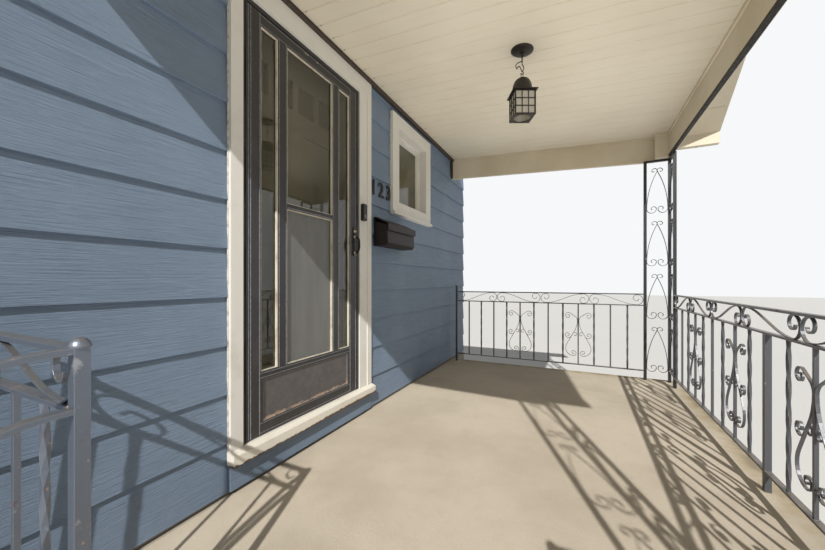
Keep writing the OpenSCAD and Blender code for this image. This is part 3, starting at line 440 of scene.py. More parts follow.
def iron_look(name, paint, worn, wear, rust, metal=0.0, top=tone(122, 110, 98)):
    """Painted iron, worn to metal on its edges and in patches, with rust and chips."""
    look = Look(name)
    patches = look.noise(24, 5, 0.65)
    worn_at = look.math("MAXIMUM", look.ramp(patches, wear, wear + 0.12), look.near_edge(0.003, 0.7))
    rust_at = look.ramp(look.noise(11, 6, 0.7), rust, rust + 0.1)
    chips = look.ramp(look.noise(70, 4, 0.6), rust + 0.07, rust + 0.09)
    _, _, facing = look.axes(look.node("TexCoord").outputs["Normal"])
    upward = look.math("MULTIPLY", look.ramp(facing, 0.6, 0.9), look.ramp(patches, 0.35, 0.6, 0.4, 0.9))
    base = look.mix(upward, look.mix(worn_at, paint, worn), top)
    base = look.mix(look.math("MULTIPLY", rust_at, 0.8), base, tone(104, 62, 38))
    base = look.mix(chips, base, tone(166, 148, 134))
    sound = look.math("SUBTRACT", 1.0, look.math("MAXIMUM", rust_at, chips))
    shine = look.math("MULTIPLY", sound, metal)
    shine = look.math("MAXIMUM", look.math("MULTIPLY", worn_at, 0.35), shine)
    look.set(Base_Color=base, Metallic=shine, Roughness=look.ramp(rust_at, 0, 1, 0.36, 0.85))
    return look.relief(look.math("ADD", look.noise(220, 4, 0.65), patches), 0.0005, 0.0015)


def grained_look(name, one, two, roughness, grain=(70, 3, 0.6), span=(0.4, 0.7), metal=0.0,
                 depth=0.0001, radius=0.0):
    """Two tones that a grain mixes. It mixes the roughness too, if that is two numbers."""
    look = Look(name, Metallic=metal)
    height = look.noise(*grain)
    if isinstance(roughness, tuple):
        roughness = look.ramp(height, 0.3, 0.7, *roughness)
    look.set(Base_Color=look.shade(height, *span, one, two), Roughness=roughness)
    return look.relief(height, depth, radius)


def plain_look(name, one, two, roughness):
    """One finish in two close tones."""
    return grained_look(name, one, two, roughness, span=(0.35, 0.7), radius=0.001)


LOOKS = {look.name: look for look in (
    concrete_look(),
    block_look(),
    wall_frame_look(),
    siding_look(),
    white_trim_look(),
    bronze_look(),
    glass_look(),
    screen_look(),
    black_metal_look(),
    door_paint_look(),
    grained_look("brass", tone(206, 176, 112), tone(150, 118, 70), (0.2, 0.45),
                 grain=(50, 4, 0.6), metal=1.0),
    mailbox_look(),
    black_plastic_look(),
    ceiling_look(),
    cream_metal_look(),
    shingle_look(),
    grained_look("lantern_metal", tone(34, 28, 24), tone(47, 39, 33), 0.42,
                 grain=(160, 3, 0.6), depth=0.0004, radius=0.001),
    frosted_glass_look(),
    iron_look("iron", tone(84, 86, 91), tone(150, 150, 153), 0.62, 0.64, 0.2),
    grained_look("vinyl", tone(214, 207, 190), tone(168, 158, 138), 0.5,
                 grain=(40, 4, 0.6, (1, 1, 0.3)), span=(0.45, 0.75), depth=0.0002),
    grained_look("caulk", tone(206, 202, 192), tone(150, 146, 138), 0.7,
                 grain=(30, 4, 0.6), depth=0.0006),
    grained_look("worn_steel", tone(208, 200, 184), tone(120, 108, 92), (0.25, 0.5),
                 grain=(160, 4, 0.6), metal=0.9),
    worn_bronze_look(),
    # A lighter bronze, as painted highlight along the storm door's ridges and sweep
    plain_look("bronze_painted_highlight", tone(96, 97, 103), tone(124, 124, 129), 0.34),
    plain_look("button_grey", tone(120, 122, 126), tone(96, 98, 102), 0.35),
    # Dark brown: on the channel over the siding's top it is partly painted shade, for the shadow gap
    # along that joint
    plain_look("dark_trim", tone(56, 47, 42), tone(72, 62, 56), 0.5),
    iron_look("weld", tone(150, 138, 126), tone(184, 156, 138), 0.5, 0.5),
)}
NODE_LOOKS = {
    "near_railing": iron_look("iron_silver", tone(120, 128, 142), tone(176, 179, 185),
                              0.62, 0.60, 0.7, tone(156, 152, 146)),
    "near_column": iron_look("iron_black", tone(36, 36, 39), tone(140, 141, 144), 0.64, 0.72),
    "door_sill": sill_look(),
    "window_glass": window_glass_look(),
    "entry_glass": entry_glass_look(),
}
NODE_LOOKS["handrails"] = NODE_LOOKS["near_railing"]
NODE_LOOKS["far_column"] = NODE_LOOKS["near_column"]


def dress_nodes():
    """Gives each node of the frame its own look, or the look of its material slot."""
    for part in frame["record"]["subparts"]:
        name = part["node"]
        look = NODE_LOOKS.get(name, LOOKS[part["material_slot"]])
        for place in frame["nodes"][name].material_slots:
            place.material = look.material


# Pieces built here

def placed(name, data):
    """A new object of that data in the scene."""
    thing = bpy.data.objects.new(name, data)
    bpy.context.scene.collection.objects.link(thing)
    return thing


def half_round(middle, radius, depth, upright):
    """The outline of a ridge on the plane y = 0, in (X, Y) if it stands and in (Y, Z) if it lies."""
    turns = [math.radians(30 * k) for k in range(7)]
    points = [(middle + radius * math.cos(a), -depth * math.sin(a)) for a in turns]
    return points if upright else [(y, z) for z, y in points]


def rounded(p0, p1, q0, q1, radius):
    """The outline of a rectangle with round corners."""
    steps = 4
    corners = ((p1 - radius, q1 - radius), (p0 + radius, q1 - radius),
               (p0 + radius, q0 + radius), (p1 - radius, q0 + radius))
    return [(p + radius * math.cos(a), q + radius * math.sin(a))
            for i, (p, q) in enumerate(corners)
            for a in (math.radians(90 * (i + k / steps)) for k in range(steps + 1))]


def smoothed(points, steps=4):
    """Points along a smooth curve through the given ones."""
    knots = [Vector(point) for point in (points[0], *points, points[-1])]
    curve = []
    for a, b, c, d in zip(knots, knots[1:], knots[2:], knots[3:]):
        for t in (k / steps for k in range(steps)):
            curve.append((2 * b + (c - a) * t + (2 * a - 5 * b + 4 * c - d) * t ** 2
                          + (3 * b - a - 3 * c + d) * t ** 3) / 2)
    return curve + [knots[-1]]


def circle(centre, radius, count, one=(1, 0, 0), two=(0, 1, 0)):
    """Points round a circle in the plane of two directions."""
    turns = [2 * math.pi * k / count for k in range(count)]
    return [Vector(centre) + radius * (math.cos(a) * Vector(one) + math.sin(a) * Vector(two))
            for a in turns]


def ceiling_at(y):
    return CEILING_AT_WALL + y * math.tan(CEILING_FALL)


class Shape:
    """A piece in the making: one mesh, in metres in the row frame, that rides on a body."""

    SLAB_SIDES = ((3, 2, 1, 0), (4, 5, 6, 7), (0, 1, 5, 4), (1, 2, 6, 5), (2, 3, 7, 6), (3, 0, 4, 7))

    def __init__(self, name, body, slot, look=None):
        self.name, self.body, self.slot = name, body, slot
        self.material = LOOKS[look or slot].material
        self.mesh = bmesh.new()

    def faces(self, points, corners):
        made = [self.mesh.verts.new(point) for point in points]
        for face in corners:
            self.mesh.faces.new([made[i] for i in face])

    def slab(self, foot, top):
        """A block between two outlines of four corners each."""
        self.faces([*foot, *top], self.SLAB_SIDES)

    def box(self, low, high, chamfer):
        low, high = Vector(low), Vector(high)
        place = Matrix.Translation((low + high) / 2) @ Matrix.Diagonal((*(high - low), 1))
        made = bmesh.ops.create_cube(self.mesh, size=1, matrix=place)["verts"]
        edges = list(dict.fromkeys(edge for vert in made for edge in vert.link_edges))
        bmesh.ops.bevel(self.mesh, geom=edges, offset=chamfer, segments=1, affect="EDGES")

    def prism(self, outline, axis, start, end):
        """An outline pulled along an axis, with its points in the other two axes, in their order."""
        def at(p, q, a):
            return {"X": (a, p, q), "Y": (p, a, q), "Z": (p, q, a)}[axis]
        n = len(outline)
        sides = [(i, (i + 1) % n, n + (i + 1) % n, n + i) for i in range(n)]
        ends = [tuple(reversed(range(n))), tuple(range(n, 2 * n))]
        self.faces([at(p, q, a) for a in (start, end) for p, q in outline], sides + ends)

    def moulding(self, profile, x0, x1, z0, z1):
        """A profile, as places in Y and steps inward, along the four sides of an opening."""
        for x, way in ((x0, 1), (x1, -1)):
            self.prism([(x + way * step, y) for y, step in profile], "Z", z0, z1)
        for z, way in ((z0, 1), (z1, -1)):
            self.prism([(y, z + way * step) for y, step in profile], "X", x0, x1)

    def ring(self, *round_bar):
        return [self.mesh.verts.new(point) for point in circle(*round_bar)]

    def skin(self, rings, closed=False):
        """Joins rings of corners one after another. A ring of one corner is a tip."""
        pairs = list(zip(rings, rings[1:])) + ([(rings[-1], rings[0])] if closed else [])
        for one, two in pairs:
            n, m = len(one), len(two)
            for k in range(max(n, m)):
                corners = (one[k % n], one[(k + 1) % n], two[(k + 1) % m], two[k % m])
                self.mesh.faces.new(list(dict.fromkeys(corners))).smooth = True
        if not closed:
            for end in (rings[0], rings[-1]):
                if len(end) > 2:
                    self.mesh.faces.new(end)

    def sweep(self, path, radius, sides=10, closed=False):
        """A round bar along a path, with one radius or one for each point."""
        points = [Vector(point) for point in path]
        count = len(points)
        radii = radius if isinstance(radius, list) else [radius] * count
        ways = []
        for i in range(count):
            before = points[i - 1] if i or closed else points[i]
            after = points[(i + 1) % count] if closed or i < count - 1 else points[i]
            ways.append((after - before).normalized())
        normal = ways[0].orthogonal().normalized()
        rings = []
        for i, way in enumerate(ways):
            if i:
                normal = ways[i - 1].rotation_difference(way) @ normal
            rings.append(self.ring(points[i], radii[i], sides, normal, way.cross(normal)))
        self.skin(rings, closed)

    def lathe(self, profile, at, axis=(0, 0, 1), sides=24):
        """A turned form, from a profile of radius and height along an axis."""
        way = Vector(axis)
        one = way.orthogonal().normalized()
        rings = []
        for radius, height in profile:
            centre = Vector(at) + height * way
            rings.append(self.ring(centre, radius, sides, one, way.cross(one)) if radius
                         else [self.mesh.verts.new(centre)])
        self.skin(rings)

    def done(self, *replaced):
        bmesh.ops.recalc_face_normals(self.mesh, faces=self.mesh.faces[:])
        data = bpy.data.meshes.new(self.name)
        self.mesh.to_mesh(data)
        self.mesh.free()
        data.materials.append(self.material)
        piece = placed(self.name, data)
        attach(piece, self.body)
        if replaced:
            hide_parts(*replaced)


# House wall

def house_number():
    """Three plain numerals on the siding beside the door."""
    shape = Shape("house_number", "root", "black_metal")
    for i, sign in enumerate(NUMERALS):
        text = bpy.data.curves.new("numeral", "FONT")
        text.body = sign
        text.extrude = NUMERAL_T
        text.offset = NUMERAL_WEIGHT
        holder = placed("numeral", text)
        view = bpy.context.evaluated_depsgraph_get()
        mesh = bpy.data.meshes.new_from_object(holder.evaluated_get(view))
        bpy.data.objects.remove(holder)
        lines = zip(*(vert.co for vert in mesh.vertices))
        (x0, x1), (y0, y1), (z0, z1) = [(min(line), max(line)) for line in lines]
        scale = NUMERAL_H / (y1 - y0)
        sized = Matrix.Diagonal((scale, scale, NUMERAL_T / (z1 - z0), 1))
        centred = Matrix.Translation((-(x0 + x1) / 2, -(y0 + y1) / 2, -(z0 + z1) / 2))
        at = Matrix.Translation((NUMERAL_X + i * NUMERAL_PITCH, -NUMERAL_T / 2, NUMERAL_Z))
        mesh.transform(at @ Matrix.Rotation(math.radians(90), 4, "X") @ sized @ centred)
        shape.mesh.from_mesh(mesh)
        bpy.data.meshes.remove(mesh)
    shape.done()


def caulk_lines():
    """Beads of sealant where the door casing and the window trim meet the siding."""
    shape = Shape("caulk_lines", "root", "white_trim", "caulk")
    steps = 40
    for node, inset in (("door_casing", 0), ("window_trim", 0.001)):
        low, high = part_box(node)
        for x in (low.x + inset, high.x - inset):
            path = [(x + random.uniform(-0.0008, 0.0008), 0.003, low.z + (high.z - low.z) * k / steps)
                    for k in range(steps + 1)]
            shape.sweep(path, [0.0045 + random.uniform(-0.0008, 0.0012) for _ in path], sides=6)
    shape.done()


def window_stops():
    """Quarter-round stops that hold the sash, and the sash's own bead round the glass."""
    shape = Shape("window_stops", "root", "white_trim")
    turns = [math.radians(22.5 * k) for k in range(5)]
    for node, inset, y, r in (("window_sash", WINDOW_LINING, SASH_FACE_Y, 0.011),
                              ("window_glass", 0, PANE_FACE_Y, 0.008)):
        low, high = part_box(node)
        profile = [(y - r * math.sin(a), r * math.cos(a)) for a in turns] + [(y, 0)]
        shape.moulding(profile, low.x + inset, high.x - inset, low.z + inset, high.z - inset)
    shape.done()


def doorbell():
    """A slim case with round corners, an eye at the top and a ringed button below."""
    low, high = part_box("doorbell")
    x = (low.x + high.x) / 2
    rim, face, inset = low.y + 0.004, low.y + 0.0015, 0.003
    case = Shape("doorbell_case", "root", "black_plastic")
    case.prism(rounded(low.x, high.x, low.z, high.z, 0.009), "Y", rim, high.y)
    inner = rounded(low.x + inset, high.x - inset, low.z + inset, high.z - inset, 0.007)
    case.prism(inner, "Y", face, rim)
    eye = [(0.010, 0), (0.010, 0.001), (0.0075, 0.0014), (0, 0.0003)]
    case.lathe(eye, (x, face, high.z - 0.026), OUTWARD)
    case.done("doorbell")
    button = Shape("doorbell_button", "root", "black_plastic", "button_grey")
    at = (x, face, low.z + 0.030)
    button.sweep(circle(at, 0.0125, 32, two=(0, 0, 1)), 0.0012, 6, closed=True)
    button.lathe([(0.0105, 0), (0.0105, 0.0006), (0.009, 0.0011), (0, 0.0013)], at, OUTWARD)
    button.done()


def mailbox_details():
    """The rolled lip of the lid, and pressed lines on the box's front."""
    low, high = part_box("mailbox_lid")
    lip = Shape("mailbox_lip", "lid", "mailbox_metal")
    roll = 0.0022
    lip.sweep([(x, low.y + roll, low.z + roll) for x in (low.x, high.x)], roll, 8)
    lip.done()
    low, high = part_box("mailbox_body")
    lines = Shape("mailbox_lines", "root", "mailbox_metal")
    for z in (low.z + 0.016, low.z + 0.022):
        outline = [(low.y + y, p) for y, p in half_round(z, 0.0016, 0.0012, False)]
        lines.prism(outline, "X", low.x + 0.012, high.x - 0.012)
    lines.done()


# Storm door

def storm_openings():
    """The storm door's two side panes, its upper pane and its screen, each as x0, x1, z0, z1."""
    glass_low, glass_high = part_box("storm_glass")
    screen_low, screen_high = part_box("storm_screen")
    return [(glass_low.x, glass_low.x + SIDE_LITE_LEFT, glass_low.z, glass_high.z),
            (glass_high.x - SIDE_LITE_RIGHT, glass_high.x, glass_low.z, glass_high.z),
            (screen_low.x, screen_high.x, screen_high.z + MID_BAR, glass_high.z),
            (screen_low.x, screen_high.x, screen_low.z, screen_high.z)]


def glazing_beads():
    """Pale vinyl beads all round the panes and the screen, on the near side of the glass."""
    shape = Shape("glazing_beads", "storm", "white_trim", "vinyl")
    front, back = 0.0012, 0.0136
    thin, wide = 0.0035, 0.0065
    for x0, x1, z0, z1 in storm_openings():
        left, right = x0 + thin, x1 - wide
        for a, b, c, d in ((x0, left, z0, z1), (right, x1, z0, z1),
                           (left, right, z0, z0 + thin), (left, right, z1 - thin, z1)):
            shape.box((a, front, c), (b, back, d), 0.0004)
    shape.done()


def storm_ridges():
    """The fine ridges of the door's extruded stiles and rails, and its sweep, in a lighter bronze that
    is painted highlight.
    """
    shape = Shape("storm_ridges", "storm", "bronze_aluminium", "bronze_painted_highlight")
    frame_low, frame_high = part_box("storm_frame")
    door_low, door_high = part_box("storm_door")
    left, right, _, screen = storm_openings()
    x0, x1 = frame_low.x + STORM_FRAME_W, frame_high.x - STORM_FRAME_W
    z0, z1 = door_low.z, door_high.z
    for x in (x0 + 0.010, x0 + 0.022, left[0] - 0.007, right[1] + 0.007, x1 - 0.010):
        shape.prism(half_round(x, 0.0034, 0.0030, True), "Z", z0 + 0.002, z1 - 0.002)
    for x in (left[1] + 0.007, screen[0] - 0.007, screen[1] + 0.007, right[0] - 0.007):
        shape.prism(half_round(x, 0.0030, 0.0026, True), "Z", left[2] - 0.002, left[3] + 0.004)
    for z in (z0 + 0.008, z0 + 0.052, left[2] - 0.030, left[2] - 0.009, left[3] + 0.008, z1 - 0.008):
        shape.prism(half_round(z, 0.0022, 0.0014, False), "X", left[0] - 0.004, right[1] + 0.004)
    shape.box((screen[0], -0.0022, screen[3] + 0.002), (screen[1], 0.001, screen[3] + 0.010), 0.0008)
    shape.box((x0 + 0.002, 0.004, z0 - 0.0045), (x1 - 0.002, 0.024, z0), 0.001)
    shape.done()


def kick_moulding():
    """The kick panel and the sloped edge round it, worn bright along their foot."""
    shape = Shape("kick_moulding", "storm", "bronze_aluminium", "worn_bronze")
    left, right, _, _ = storm_openings()
    x0, x1 = left[0] + 0.014, right[1] - 0.014
    z1 = left[2] - KICK_RAIL
    z0 = z1 - KICK_H
    shape.moulding([(0.0006, 0), (0.0097, 0), (0.0097, 0.011), (0.0042, 0.0075)], x0, x1, z0, z1)
    edge = 0.010
    shape.box((x0 + edge, 0.0088, z0 + edge), (x1 - edge, 0.0105, z1 - edge), 0.0005)
    shape.done()


def storm_handle():
    """A curved pull on a long plate, with a thumb button, collars and screws worn bright."""
    low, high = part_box("storm_handle")
    x = (low.x + high.x) / 2
    face = -0.005
    pull = Shape("door_pull", "storm", "black_metal")
    pull.prism(rounded(low.x + 0.002, high.x - 0.002, low.z, high.z, 0.010), "Y", face, -0.0002)
    grip = [(-0.004, 0.022), (-0.028, 0.026), (-0.040, 0.046), (-0.042, 0.074),
            (-0.040, 0.102), (-0.028, 0.122), (-0.004, 0.126)]
    path = smoothed([(x, y, low.z + z) for y, z in grip])
    last = len(path) - 1
    pull.sweep(path, [0.0048 + 0.0022 * math.sin(math.pi * k / last) for k in range(last + 1)], 12)
    pull.done("storm_handle")
    worn = Shape("pull_button", "storm", "black_metal", "worn_steel")
    button = [(0.011, 0), (0.011, 0.003), (0.008, 0.004), (0.008, 0.011), (0.006, 0.013), (0, 0.0135)]
    collar = [(0.009, 0), (0.009, 0.002), (0.006, 0.004), (0.0055, 0.010)]
    screw = [(0.0032, 0), (0.0032, 0.0008), (0, 0.0016)]
    worn.lathe(button, (x, face, high.z - 0.030), OUTWARD)
    for _, z in (grip[0], grip[-1]):
        worn.lathe(collar, (x, face, low.z + z), OUTWARD)
    worn.sweep([(x, -0.012, low.z + 0.011), (x, -0.017, low.z + 0.004)], [0.004, 0.0028], 8)
    for z in (low.z + 0.007, high.z - 0.009):
        worn.lathe(screw, (x, face, z), OUTWARD, 12)
    worn.done()


def storm_screws():
    """Screws with bright heads in the storm door's top rail."""
    shape = Shape("storm_screws", "storm", "black_metal", "worn_steel")
    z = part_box("storm_door")[1].z - 0.0115
    head = [(0.0052, 0), (0.0052, 0.0006), (0.0035, 0.0022), (0, 0.0027)]
    for x in SCREWS_X:
        shape.lathe(head, (x, 0, z), OUTWARD, 14)
    shape.done()


# Ceiling, beams and roof

def dark_trim():
    """The channel over the joint of siding and ceiling, with its legs beside the side beams. Its dark
    brown is partly its own colour and partly painted shade, for the shadow gap along that joint.
    """
    shape = Shape("dark_trim", "root", "bronze_aluminium", "dark_trim")
    gap, lip, reach = 0.0005, 0.026, 0.029
    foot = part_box("door_casing")[1].z + 0.001
    top = ceiling_at(-0.030) - gap
    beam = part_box("far_beam")[0]
    outline = [(-gap, foot), (-lip, foot), (-reach, foot + 0.003), (-reach, foot + 0.012),
               (-lip, foot + 0.014), (-lip, foot + 0.018), (-reach, foot + 0.020), (-reach, top),
               (-gap, top + 0.001)]
    shape.prism(outline, "X", -beam.x, beam.x)
    for way in (-1, 1):
        a, b = sorted((way * beam.x, way * (beam.x - 0.034)))
        shape.box((a, -0.018, beam.z + 0.090), (b, -gap, foot), 0.002)
    shape.done()


def ceiling_trims():
    """Thin battens along the beams and round the boxes over the posts, and nail heads by the wall."""
    shape = Shape("ceiling_trims", "root", "cream_metal")
    gap, t, drop = 0.0005, 0.012, 0.018
    beam_low, beam_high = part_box("front_beam")
    side_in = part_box("far_beam")[0].x + 0.010
    head_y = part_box("beam_heads")[1].y

    def batten(x0, x1, y0, y1):
        corners = ((x0, y0), (x1, y0), (x1, y1), (x0, y1))
        shape.slab([(x, y, ceiling_at(y) - drop) for x, y in corners],
                   [(x, y, ceiling_at(y) - gap) for x, y in corners])

    batten(beam_low.x + t, beam_high.x - t, beam_high.y, beam_high.y + t)
    for way in (-1, 1):
        for x, y0, y1 in ((side_in, head_y + t, -0.120), (beam_high.x, beam_high.y, head_y + t)):
            batten(*sorted((way * x, way * (x - t))), y0, y1)
        batten(*sorted((way * beam_high.x, way * side_in)), head_y, head_y + t)
    shape.done()
    nails = Shape("ceiling_nails", "root", "cream_metal", "dark_trim")
    head = [(0.0034, 0), (0.0034, 0.0006), (0, 0.0013)]
    count = int(side_in / CEILING_BOARD)
    for i in range(-count, count + 1):
        y = -0.052 + random.uniform(-0.004, 0.004)
        nails.lathe(head, (i * CEILING_BOARD, y, ceiling_at(y)), DOWNWARD, 8)
    nails.done()


def soffit_seams():
    """The locked seams of the sheets under the rakes and the eaves."""
    shape = Shape("soffit_seams", "root", "cream_metal")
    half, proud = 0.004, 0.003
    low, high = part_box("rake_boxes")
    pitch = math.cos(ROOF_PITCH) * SOFFIT_SHEET
    count = int(high.x / pitch)
    for i in range(-count, count + 1):
        x = (i + 0.5) * pitch
        if abs(x) > high.x - 0.02:
            continue
        z = low.z + (high.x - abs(x)) * math.tan(ROOF_PITCH)
        dz = math.tan(ROOF_PITCH) * half * (-1 if x > 0 else 1)
        corners = ((x - half, low.y + 0.022, z - dz), (x + half, low.y + 0.022, z + dz),
                   (x + half, high.y, z + dz), (x - half, high.y, z - dz))
        shape.slab([(a, b, c - proud) for a, b, c in corners], corners)
    low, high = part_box("eave_boxes")
    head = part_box("beam_heads")[1].x
    for i in range(int((high.y - low.y) / SOFFIT_SHEET)):
        y = low.y + (i + 0.5) * SOFFIT_SHEET
        for way in (-1, 1):
            a, b = sorted((way * (head + 0.001), way * (high.x - 0.001)))
            shape.box((a, y - half, low.z - proud), (b, y + half, low.z), 0.0008)
    shape.done()


def slope_ways(side):
    """The ways down and out of the roof, on one side of its ridge."""
    return (Vector((side * math.cos(ROOF_PITCH), 0, -math.sin(ROOF_PITCH))),
            Vector((side * math.sin(ROOF_PITCH), 0, math.cos(ROOF_PITCH))))


def shingled_slope(side, name, node):
    """Courses of cut shingles over a deck, in place of one slope of the roof."""
    low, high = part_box(node)
    shape = Shape(name, "root", "shingles")
    down, out = slope_ways(side)
    edge = max(abs(low.x), abs(high.x))
    ridge = high.z - SHINGLE_BED
    under = high.z - ROOF_T
    rise = edge * math.tan(ROOF_PITCH)
    deck = [(0, under), (0, ridge), (side * edge, ridge - rise), (side * edge, under - rise)]
    shape.prism(deck, "Y", low.y, high.y)

    def at(along, lift, y):
        return Vector((0, y, ridge)) + down * along + out * lift

    gap, lap, lift, thick = 0.006, 0.015, 0.003, 0.0042
    length = (edge - gap) / math.cos(ROOF_PITCH)
    for i in range(int(length / SHINGLE_ROW)):
        butt = length - i * SHINGLE_ROW
        y = low.y - (i % 2) * SHINGLE_TAB / 2
        while y < high.y:
            y0, y1 = max(low.y, y), min(high.y, y + SHINGLE_TAB - gap)
            y += SHINGLE_TAB
            if y1 - y0 < 0.01:
                continue
            s1 = butt - random.uniform(0, 0.003)
            s0 = max(0.0, s1 - SHINGLE_ROW - lap)
            foot = ((s0, 0.0, y0), (s1, lift, y0), (s1, lift, y1), (s0, 0.0, y1))
            shape.slab([at(*corner) for corner in foot], [at(s, n + thick, b) for s, n, b in foot])
    shape.done(node)


def ridge_cap():
    """Bent shingles that overlap along the ridge."""
    shape = Shape("ridge_cap", "root", "shingles")
    low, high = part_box("roof_far")
    ridge = high.z - SHINGLE_BED
    reach, step, lap, thick = 0.13, 0.145, 0.02, 0.003
    y = low.y
    while y < high.y - 0.01:
        y1 = min(y + step + lap, high.y)
        for side in (-1, 1):
            down, out = slope_ways(side)

            def at(along, lift, b):
                top = Vector((0, b, ridge + lift / math.cos(ROOF_PITCH)))
                return top if not along else Vector((0, b, ridge)) + down * along + out * lift

            foot = [(0, 0.0058, y), (reach, 0.0058, y), (reach, 0.0045, y1), (0, 0.0045, y1)]
            shape.slab([at(*corner) for corner in foot], [at(s, n + thick, b) for s, n, b in foot])
        y += step
    shape.done()


# Foundation

def laid_blocks(start, end, top):
    """The ends and levels of each block of a face in running bond, from its top to the ground."""
    count = max(1, round((end - start) / BLOCK_PITCH))
    pitch = (end - start) / count
    row = 0
    while top - row * BLOCK_ROW > 2 * MORTAR:
        z1 = top - row * BLOCK_ROW - MORTAR / 2
        z0 = max(0.002, z1 - BLOCK_ROW + MORTAR)
        shift = pitch / 2 if row % 2 else 0
        cuts = [start, *(start + shift + k * pitch for k in range(count + 1)), end]
        cuts = sorted({round(cut, 4) for cut in cuts if cut <= end + 0.0001})
        for a, b in zip(cuts, cuts[1:]):
            if b - a > 3 * MORTAR:
                yield a + MORTAR / 2, b - MORTAR / 2, z0, z1
        row += 1


def foundation_blocks():
    """The faces of the concrete blocks, a little proud of their mortar."""
    porch_low, porch_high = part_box("porch_foundation")
    house_low, house_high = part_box("house_foundation")
    porch = Shape("porch_blocks", "root", "block")
    house = Shape("house_blocks", "root", "block")
    sunk, proud, house_proud, bevel = 0.001, 0.004, 0.0035, 0.0025
    top = porch_high.z
    for a, b, z0, z1 in laid_blocks(porch_low.x, porch_high.x, top):
        porch.box((a, porch_low.y - proud, z0), (b, porch_low.y + sunk, z1), bevel)
    for x, way in ((porch_low.x, -1), (porch_high.x, 1)):
        x0, x1 = sorted((x - way * sunk, x + way * proud))
        for a, b, z0, z1 in laid_blocks(porch_low.y, porch_high.y - 0.005, top):
            porch.box((x0, a, z0), (x1, b, z1), bevel)
    for start, end in ((house_low.x, porch_low.x - 0.01), (porch_high.x + 0.01, house_high.x)):
        for a, b, z0, z1 in laid_blocks(start, end, house_high.z):
            house.box((a, -house_proud, z0), (b, sunk, z1), bevel)
    porch.done()
    house.done()


# Lantern and ironwork

def lantern_axis():
    """Where the lantern hangs, with the level of its foot."""
    low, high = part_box("lantern_cage")
    return (low.x + high.x) / 2, (low.y + high.y) / 2, low.z


def lantern_details():
    """Beads under the lantern's dome and on its canopy, the collar at its ring and its feet."""
    x, y, foot = lantern_axis()
    shape = Shape("lantern_beads", "lantern", "lantern_metal")
    plate = foot + CAGE_H + CAGE_PLATE
    for radius, lift, wire in ((0.0575, 0.0018, 0.0026), (0.0535, 0.018, 0.0014)):
        shape.sweep(circle((x, y, plate + lift), radius, 40), wire, 8, closed=True)
    collar = [(0.0105, 0), (0.0115, 0.003), (0.007, 0.006), (0.0042, 0.010), (0.0036, 0.0125)]
    shape.lathe(collar, (x, y, plate + DOME_H - 0.004), sides=20)
    turn = Matrix.Rotation(LANTERN_TURN, 3, "Z")
    for a in (-CAGE_CORNER, CAGE_CORNER):
        for b in (-CAGE_CORNER, CAGE_CORNER):
            corner = Vector((x, y, foot)) + turn @ Vector((a, b, 0))
            shape.lathe([(0.0036, 0.003), (0.0036, 0.0), (0, -0.0002)], corner, sides=10)
    shape.done()
    beads = Shape("canopy_beads", "root", "lantern_metal")
    level = ceiling_at(y)
    lean = (0, math.cos(CEILING_FALL), math.sin(CEILING_FALL))
    beads.sweep(circle((x, y, level - 0.0045), 0.0622, 48, two=lean), 0.0016, 8, closed=True)
    beads.sweep(circle((x, y, level - 0.0185), 0.0100, 24), 0.0018, 8, closed=True)
    beads.done()


def lantern_hook():
    """The canopy and its rod, with the scrolled hook that carries the lantern's ring."""
    x, y, _ = lantern_axis()
    top = Vector((x, y, ceiling_at(y) - 0.0003))
    shape = Shape("lantern_hook", "root", "lantern_metal")
    dish = [(0, 0), (0.064, 0), (0.064, 0.0035), (0.061, 0.005)]
    for a in (math.radians(15 * k) for k in range(1, 6)):
        dish.append((0.009 + 0.052 * math.cos(a), 0.005 + 0.0135 * math.sin(a)))
    dish.append((0, 0.0188))
    shape.lathe(dish, top, (0, math.sin(CEILING_FALL), -math.cos(CEILING_FALL)), 40)
    neck = [(0.012, 0.015), (0.0105, 0.022), (0.0065, 0.034), (0.0052, 0.042), (0.0052, 0.046),
            (0.0036, 0.048), (0.0036, 0.063)]
    shape.lathe(neck, top, DOWNWARD, 16)

    end = top - Vector((0, 0, LANTERN_ROD))

    def at(aside, z):
        """A place in the hook's plane, given in millimetres from the end of the rod."""
        return end + 0.001 * (aside * Vector(HOOK_SIDE) + Vector((0, 0, z)))

    def wire(points, radius):
        shape.sweep(smoothed([at(*point) for point in points], 5), radius)

    wire(((0, 0), (0, -12), (0, -25), (-6, -32), (-9, -44), (-6, -58), (1.5, -68)), 0.0026)
    wire(((0, -5), (14.7, -12), (28, -18), (36.5, -29), (36, -42), (30, -51.5)), 0.0027)
    wire(((30, -51.5), (26, -43), (21, -37.5), (14.7, -38.5), (7.4, -51.8), (1.5, -68)), 0.0026)
    turns = [math.radians(80 + 28 * k) for k in range(11)]
    wire([(8 * math.cos(a), -76 + 8 * math.sin(a)) for a in turns], 0.0022)
    for aside, z, r in ((0, -12, 0.0042), (1.2, -66, 0.0034), (30.5, -51, 0.0036)):
        ball = [(0, -r), (0.7 * r, -0.7 * r), (r, 0), (0.7 * r, 0.7 * r), (0, r)]
        shape.lathe(ball, at(aside, z), sides=12)
    shape.done("lantern_canopy")


